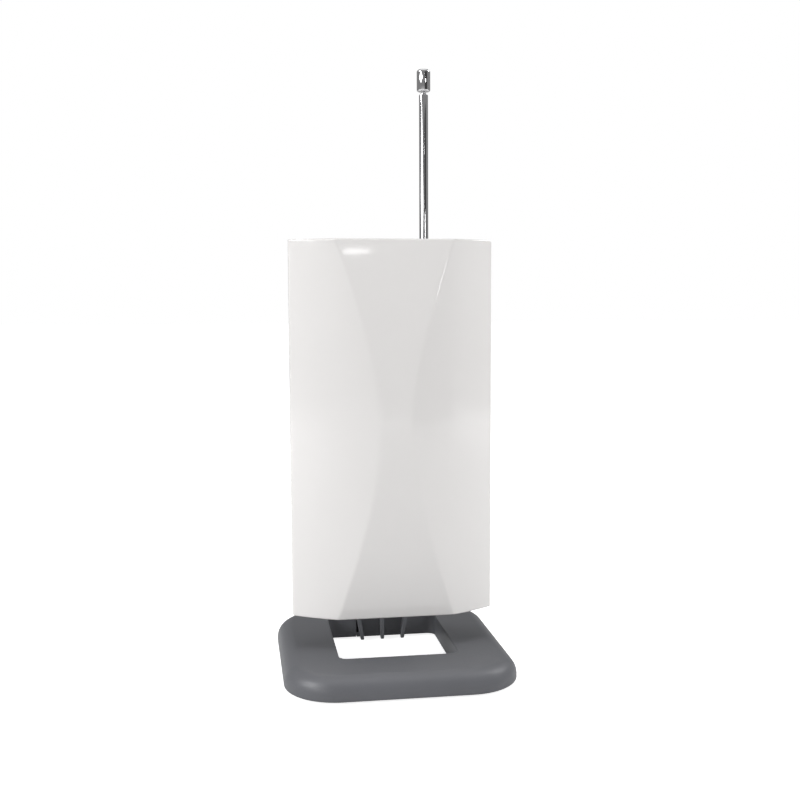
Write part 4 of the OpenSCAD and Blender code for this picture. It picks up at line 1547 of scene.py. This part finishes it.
@dataclass
class Rod:
    """Swivel, fold joint and the five sections of the telescopic rod."""

    wardrobe: Wardrobe
    x: float = 24.5 * MM
    y: float = 15.21 * MM
    bush_top: float = 195.1 * MM
    post_z: float = 195.15 * MM
    fold_z: float = 201.55 * MM
    tube_z: float = 207.15 * MM
    nest_z: float = 213.75 * MM
    tube_top: float = 353.55 * MM
    cap_z: float = 355.65 * MM
    cap_h: float = 13.4 * MM
    cap_r: float = 4.2 * MM
    outer_d: float = 5.6 * MM
    step: float = 0.9 * MM
    tube_wall: float = 0.3 * MM
    gap: float = 0.05 * MM
    collar_l: float = 8 * MM
    lip_l: float = 1.2 * MM
    top_step: float = 0.5 * MM
    root_r: float = 4 * MM
    root_half: float = 2 * MM
    ear_t: float = 2.4 * MM
    ear_gap: float = 0.1 * MM
    pin_r: float = 1.25 * MM
    bodies: tuple[Ride, ...] = (Ride.ROD_1, Ride.ROD_2, Ride.ROD_3, Ride.ROD_4)

    def axis_point(self, z: float) -> Vector:
        """A point on the rod's axis."""
        return Vector((self.x, self.y, z))

    def radius(self, section: int) -> float:
        """Outer radius of a section, counted from 1 at the outside."""
        return (self.outer_d - (section - 1) * self.step) / 2

    def chromed(self, name: str, profile: Profile, steps: int, body: Ride, node: str) -> bpy.types.Object:
        """A chromed piece turned about the rod's axis.

        Args:
            name: The piece's name.
            profile: Its (radius, height) points.
            steps: Number of steps round.
            body: The body that it rides on.
            node: The CAD node that it replaces.

        Returns:
            The piece.
        """
        piece = turned(name, profile, self.axis_point(0), UP, steps)
        shade(piece, 25, weighted=False)
        return self.wardrobe.place(piece, Slot.ROD_CHROME, body, node)

    def tube(self, section: int) -> bpy.types.Object:
        """One tube with its rolled mouth and, inside another, its foot collar.

        Args:
            section: Its number, from 1 at the outside.

        Returns:
            The tube.
        """
        bottom = self.tube_z if section == 1 else self.nest_z
        outer = self.radius(section)
        bore = outer - self.tube_wall
        lip = self.radius(section + 1) + self.gap
        top = self.tube_top + (section - 1) * self.top_step
        collar = outer if section == 1 else self.radius(section - 1) - self.tube_wall - self.gap
        profile = [(bore, bottom), (collar, bottom)]
        if section > 1:
            profile += [(collar, bottom + self.collar_l), (outer, bottom + self.collar_l)]
        profile += [(outer, top - 0.45 * MM), (outer - 0.05 * MM, top - 0.15 * MM), (outer - 0.16 * MM, top)]
        profile += [(lip, top), (lip, top - self.lip_l), (bore, top - self.lip_l)]
        body = self.bodies[section - 1]
        return self.chromed(f"rod_section_{section}", profile, 56, body, f"rod_tube_{section}")

    def core_and_cap(self) -> None:
        """Solid innermost section and the turned cap on it."""
        inner = self.radius(5)
        collar = self.radius(4) - self.tube_wall - self.gap
        top = self.cap_z + self.cap_h - 4 * MM
        start = self.nest_z
        shoulder = start + self.collar_l
        profile = [(0, start), (collar, start), (collar, shoulder), (inner, shoulder)]
        self.chromed("rod_section_5", profile + [(inner, top), (0, top)], 48, Ride.ROD_5, "rod_core")
        low, high, r, edge = self.cap_z, self.cap_z + self.cap_h, self.cap_r, 1.7 * MM
        turns = [i * math.pi / 16 for i in range(9)]
        profile = [(inner, low), (r - 0.75 * MM, low), (r - 0.25 * MM, low + 0.3 * MM), (r, low + 0.9 * MM)]
        profile += [(r - edge * (1 - math.cos(t)), high - edge * (1 - math.sin(t))) for t in turns]
        profile += [(0, high), (0, top), (inner, top)]
        self.chromed("rod_tip_cap", profile, 64, Ride.ROD_5, "tip_cap")

    def plate_with_eye(
        self, name: str, half_x: float, mid_x: float, base: float, eye_r: float, hole: float
    ) -> bpy.types.Object:
        """An upright plate with a round end about the fold pin and a hole for it.

        Args:
            name: The piece's name.
            half_x: Half its thickness.
            mid_x: Its middle, from the rod's axis.
            base: Height of its lower edge, or of its upper edge where the eye is below.
            eye_r: Radius of the round end.
            hole: Radius of the hole.

        Returns:
            The plate.
        """
        up = 1 if base < self.fold_z else -1
        turns = [up * math.pi * i / 18 for i in range(19)]
        arc = [(eye_r * math.cos(turn), eye_r * math.sin(turn)) for turn in turns]
        outline = [(eye_r, base - self.fold_z)] + arc + [(-eye_r, base - self.fold_z)]
        middle = self.axis_point(self.fold_z) + RIGHT * mid_x
        sides = (-half_x, half_x)
        plate = lofted(name, [[middle + Vector((x, y, z)) for y, z in outline] for x in sides])
        reach = half_x + CLEAR
        combine(plate, [drum("drill", hole, -reach, reach, middle, RIGHT, 32)])
        soften(plate, 0.25 * MM, 2)
        return plate

    def post(self) -> None:
        """Swivel post: shank, flange and two ears."""
        flange, shank = 6.5 * MM, 3 * MM
        z = self.post_z
        foot, top = z - 6.3 * MM, z + 1.2 * MM
        profile = [(0, foot), (shank, foot), (shank, z), (flange - 0.15 * MM, z), (flange, z + 0.2 * MM)]
        profile += [(flange, z + 0.9 * MM), (flange - 0.3 * MM, top), (0, top)]
        disc = turned("disc", profile, self.axis_point(0), UP, 64)
        middle = self.root_half + self.ear_gap + self.ear_t / 2
        ears = [
            self.plate_with_eye("ear", self.ear_t / 2, side * middle, z + 1.0 * MM, self.root_r, self.pin_r)
            for side in (-1, 1)
        ]
        post = joined("swivel_fork", [disc] + ears)
        shade(post, 30)
        self.wardrobe.place(post, Slot.SWIVEL_METAL, Ride.SWIVEL, "swivel_post")

    def pin(self) -> None:
        """Riveted pin with domed heads."""
        half = self.root_half + self.ear_gap + self.ear_t
        head, end = 2.15 * MM, half + 0.8 * MM
        side = [(self.pin_r, half), (head, half), (head, half + 0.3 * MM)]
        side += [(head - 0.35 * MM, half + 0.62 * MM), (0.8 * MM, end), (0, end)]
        profile = [(radius, -height) for radius, height in reversed(side)] + side
        pin = turned("fold_rivet", profile, self.axis_point(self.fold_z), RIGHT, 40)
        shade(pin, 40, weighted=False)
        self.wardrobe.place(pin, Slot.SWIVEL_METAL, Ride.SWIVEL, "fold_pin")

    def root(self) -> None:
        """Flat root that turns on the pin, with its collar and plug in the outer tube."""
        eye_r, hole = self.root_r - 0.02 * MM, self.pin_r + self.gap
        eye = self.plate_with_eye("eye", self.root_half, 0, self.tube_z - 0.8 * MM, eye_r, hole)
        z, plug, r = self.tube_z, 2.5 * MM, self.radius(1)
        foot, top = z - 1 * MM, z + 6 * MM
        neck = [(0, foot), (r - 0.2 * MM, foot), (r, z - 0.8 * MM), (r, z), (plug, z), (plug, top), (0, top)]
        collar = turned("collar", neck, self.axis_point(0), UP, 56)
        root = joined("rod_root_eye", [eye, collar])
        shade(root, 30)
        self.wardrobe.place(root, Slot.ROD_CHROME, Ride.ROD_1, "rod_root")

    def bush(self) -> None:
        """Flanged bush in the housing's top."""
        bore, outer, flange = 3.05 * MM, 5 * MM, 7 * MM
        top = self.bush_top
        foot, seat = top - 5.6 * MM, top - 1 * MM
        profile = [(bore, foot), (outer, foot), (outer, seat), (flange, seat)]
        profile += [(flange, top - 0.35 * MM), (flange - 0.35 * MM, top), (bore, top)]
        bush = turned("swivel_bush_ring", profile, self.axis_point(0), UP, 64)
        shade(bush, 30)
        self.wardrobe.place(bush, Slot.BUSH_GREY, Ride.STAND, "swivel_bush")

    def build(self) -> None:
        """Builds the joint and the rod."""
        self.bush()
        self.post()
        self.pin()
        self.root()
        for section in (1, 2, 3, 4):
            self.tube(section)
        self.core_and_cap()


# The screws


def seats(across: tuple[float, ...], back: tuple[float, ...], up: tuple[float, ...]) -> tuple[Place, ...]:
    """Every mix of places given in millimetres, in metres."""
    return tuple((x * MM, y * MM, z * MM) for x in across for y in back for z in up)


@dataclass(frozen=True)
class ScrewSet:
    """Screws of one kind: where their heads sit and which way they point out."""

    node: str
    seats: tuple[Place, ...]
    out: Place = (0, 1, 0)
    length: float = 7 * MM
    head_h: float = 1.9 * MM


SCREW_SETS = (
    ScrewSet("cover_screws", seats((-49, 49), (-4.59,), (47.1, 249.7))),
    ScrewSet("housing_screws", seats((-50, 50), (0.41,), (92.1, 176.1))),
    ScrewSet("neck_head_screws", seats((-8, 8), (21.61,), (90.1,)), length=8 * MM),
    ScrewSet("plate_screws", seats((-52.75, 52.75), (-43, 43), (1.8,)), (0, 0, -1), 8 * MM, 1.1 * MM),
    ScrewSet("neck_foot_screws", seats((-8, 8), (51,), (1.8,)), (0, 0, -1), 12 * MM, 1.1 * MM),
)


@dataclass
class Screws:
    """Every screw whose head can be seen, modelled once a set and copied."""

    wardrobe: Wardrobe
    shank_r: float = 1.5 * MM
    head_r: float = 2.8 * MM
    sets: tuple[ScrewSet, ...] = SCREW_SETS

    def screw(self, kind: ScrewSet, seat: Vector) -> bpy.types.Object:
        """One screw with a domed head and a cross recess.

        Args:
            kind: Its set.
            seat: The centre of its seat.

        Returns:
            The screw.
        """
        out = Vector(kind.out)
        head, r, h = self.head_r, self.shank_r, kind.head_h
        profile = [(0, -kind.length), (r * 0.5, -kind.length), (r, -kind.length + 1 * MM), (r, 0), (head, 0)]
        profile += [(head, 0.35 * h), (0.93 * head, 0.68 * h), (0.72 * head, 0.93 * h)]
        profile += [(0.5 * head, h), (0, h)]
        made = turned(kind.node, profile, seat, out, 36)
        along = out.cross(RIGHT)
        ends = (seat + out * (0.35 * h), seat + out * (h + 0.5 * MM))
        for wide, narrow in ((RIGHT, along), (along, RIGHT)):
            spread = Vector([abs(v) for v in wide * (0.56 * head) + narrow * (0.15 * head)])
            low, high = (Vector([pick(pair) for pair in zip(*ends)]) for pick in (min, max))
            combine(made, [block("slot", low - spread, high + spread)])
        shade(made, 28, weighted=False)
        return made

    def build(self) -> None:
        """Builds each set from one screw and its copies."""
        for kind in self.sets:
            first = Vector(kind.seats[0])
            made = self.screw(kind, first)
            copies = [copy_moved(made, Vector(seat) - first) for seat in kind.seats[1:]]
            piece = joined(f"{kind.node}_set", [made] + copies)
            self.wardrobe.place(piece, Slot.SCREW_STEEL, Ride.STAND, kind.node)


# The studio


@dataclass(frozen=True)
class Lamp:
    """A soft lamp that looks at a point.

    The level is what it adds to a white card facing it, at its aim.
    """

    name: str
    place: Place
    size: tuple[float, float]
    level: float
    shape: str = "RECTANGLE"
    aim: Place = (0, 0, 0.15)


@dataclass(frozen=True)
class MirrorCard:
    """A card that only mirrors show: dark to shape the chrome, or bright as a bare lamp."""

    name: str
    place: Place
    size: tuple[float, float]
    level: float
    roll: float = 0
    aim: Place = (0, 0, 0.25)


@dataclass
class Studio:
    """Camera, floor, lamps and the cards that the chrome mirrors."""

    eye: Place = (-0.095, -0.663, 0.2241)
    yaw: float = math.radians(-8.71)
    pitch: float = math.radians(5.06)
    roll: float = math.radians(-0.24)
    focal_px: float = 1083.4
    frame_px: float = 800
    sensor: float = 36.0
    floor_reach: float = 12
    world_level: float = 0.26
    floor_tone: float = 0.75
    floor_glow: float = 0.84
    floor_mirrored: float = 0.12
    room_level: float = 0.27
    room_r: float = 3.2
    room_h: float = 5
    room_z: float = 2.4
    boxes: tuple[Lamp, ...] = (
        Lamp("key_umbrella", (-1.50, -0.42, 0.75), (0.84, 0.84), 0.68, "DISK"),
        Lamp("fill_box", (1.50, -0.42, 0.62), (0.8, 0.9), 0.53),
        Lamp("low_box", (0.0, -1.7, 0.1), (1.0, 0.3), 0.13, aim=(0, 0, 0.1)),
        Lamp("top_box", (0.0, -0.1, 1.6), (1.2, 0.8), 0.42),
    )
    cards: tuple[MirrorCard, ...] = (
        MirrorCard("key_card", (-1.24, -0.91, 0.605), (1.3, 0.38), 3.8, 45),
        MirrorCard("key_high", (-1.2, -0.3, 1.05), (0.55, 0.55), 17.0),
        MirrorCard("flag_right", (0.78, -1.15, 0.35), (1.15, 0.9), 0.06),
        MirrorCard("strip_lamp", (0.145, -1.45, 0.72), (0.05, 0.022), 9.0),
        MirrorCard("side_lamp", (0.64, -1.20, 0.435), (0.11, 0.13), 10.0),
        MirrorCard("back_right_card", (1.1, 0.2, 1.05), (0.5, 0.5), 9.0),
    )

    def camera(self) -> None:
        """Camera at the photograph's place and angle."""
        level = Vector((-math.sin(self.yaw), math.cos(self.yaw), 0))
        ahead = level * math.cos(self.pitch) - UP * math.sin(self.pitch)
        across = Vector((math.cos(self.yaw), math.sin(self.yaw), 0))
        above = across.cross(ahead)
        right = across * math.cos(self.roll) + above * math.sin(self.roll)
        top = above * math.cos(self.roll) - across * math.sin(self.roll)
        data = bpy.data.cameras.new("camera")
        data.sensor_width = self.sensor
        data.lens = self.focal_px * self.sensor / self.frame_px
        data.clip_start, data.clip_end = 0.01, 100
        camera = bpy.data.objects.new("camera", data)
        bpy.context.scene.collection.objects.link(camera)
        turn = Matrix((right, top, -ahead)).transposed().to_4x4()
        camera.matrix_world = Matrix.Translation(Vector(self.eye)) @ turn
        bpy.context.scene.camera = camera

    def world(self) -> None:
        """Surroundings that the camera, mirrors and glass see as white and that light at a plain level."""
        world = bpy.data.worlds.new("studio")
        world.use_nodes = True
        nodes = Nodes(world.node_tree)
        rays = nodes.node("LightPath").outputs
        mirrored = nodes.math("MAXIMUM", rays["Is Camera Ray"], rays["Is Glossy Ray"])
        seen = nodes.math("MAXIMUM", mirrored, rays["Is Transmission Ray"])
        back = nodes.tree.nodes["Background"]
        nodes.feed(back.inputs["Color"], WHITE)
        nodes.feed(back.inputs["Strength"], nodes.mix(seen, self.world_level, 1.0, "FLOAT"))
        bpy.context.scene.world = world

    def floor(self) -> None:
        """Plain pale floor that keeps the object's shadow and is dimmer in mirrors."""
        bpy.ops.mesh.primitive_plane_add(size=2 * self.floor_reach)
        floor = named("floor")
        maker = MaterialMaker("pale_floor")
        rays = maker.node("LightPath").outputs
        mirrored = maker.math("MULTIPLY", rays["Is Glossy Ray"], self.floor_mirrored)
        straight = maker.math("MAXIMUM", rays["Is Camera Ray"], rays["Is Transmission Ray"])
        material = maker.finished(
            Base_Color=(self.floor_tone, self.floor_tone, self.floor_tone, 1),
            Roughness=0.9,
            Specular_IOR_Level=0.1,
            Emission_Color=WHITE,
            Emission_Strength=maker.math("MULTIPLY_ADD", straight, self.floor_glow, mirrored),
        )
        floor.data.materials.append(material)

    def mirror_only(self, stand_in: bpy.types.Object, level: float) -> None:
        """Makes a staged object glow in mirrors alone.

        Args:
            stand_in: The card or wall.
            level: Its brightness, where 1 is white.
        """
        maker = MaterialMaker(stand_in.name)
        maker.tree.nodes.remove(maker.shader)
        glow = maker.node("Emission", {"Strength": level, "Color": WHITE})
        maker.feed(maker.tree.nodes["Material Output"].inputs["Surface"], glow.outputs[0])
        stand_in.data.materials.append(maker.material)
        stand_in.visible_camera = stand_in.visible_diffuse = stand_in.visible_shadow = False
        stand_in.visible_transmission = False

    def hang_cards(self) -> None:
        """Hangs the cards, and a dim wall round everything that stands for the room."""
        for card in self.cards:
            bpy.ops.mesh.primitive_plane_add(size=1)
            sheet = named(card.name)
            place = Vector(card.place)
            shape = Matrix.Diagonal((*card.size, 1, 1)) @ Matrix.Rotation(math.radians(card.roll), 4, "Z")
            sheet.data.transform(turned_along(place, Vector(card.aim) - place) @ shape)
            self.mirror_only(sheet, card.level)
        bpy.ops.mesh.primitive_cylinder_add(
            vertices=48,
            radius=self.room_r,
            depth=self.room_h,
            end_fill_type="NOTHING",
            location=(0, 0, self.room_z),
        )
        self.mirror_only(named("room_wall"), self.room_level)

    def lamps(self) -> None:
        """Soft lamps round the object, which mirrors don't show."""
        for box in self.boxes:
            data = bpy.data.lights.new(box.name, "AREA")
            data.shape = box.shape
            data.size, data.size_y = box.size
            place = Vector(box.place)
            back = place - Vector(box.aim)
            data.energy = box.level * math.pi**2 * back.length_squared
            lamp = bpy.data.objects.new(box.name, data)
            bpy.context.scene.collection.objects.link(lamp)
            lamp.matrix_world = turned_along(place, back)
            lamp.visible_glossy = False

    def build(self) -> None:
        """Sets the stage."""
        bpy.context.scene.view_settings.view_transform = "Standard"
        self.camera()
        self.world()
        self.floor()
        self.lamps()
        self.hang_cards()


def main() -> None:
    """Builds the stage and every sub-assembly."""
    logging.basicConfig(level=logging.INFO, format="%(name)s %(message)s")
    Studio().build()
    wardrobe = Wardrobe()
    for assembly in (Panel, Housing, BaseFrame, Neck, Rod, Screws):
        assembly(wardrobe).build()
        LOG.info("%s done", assembly.__name__)
    wardrobe.dress_nodes()


if __name__ == "__main__":
    main()
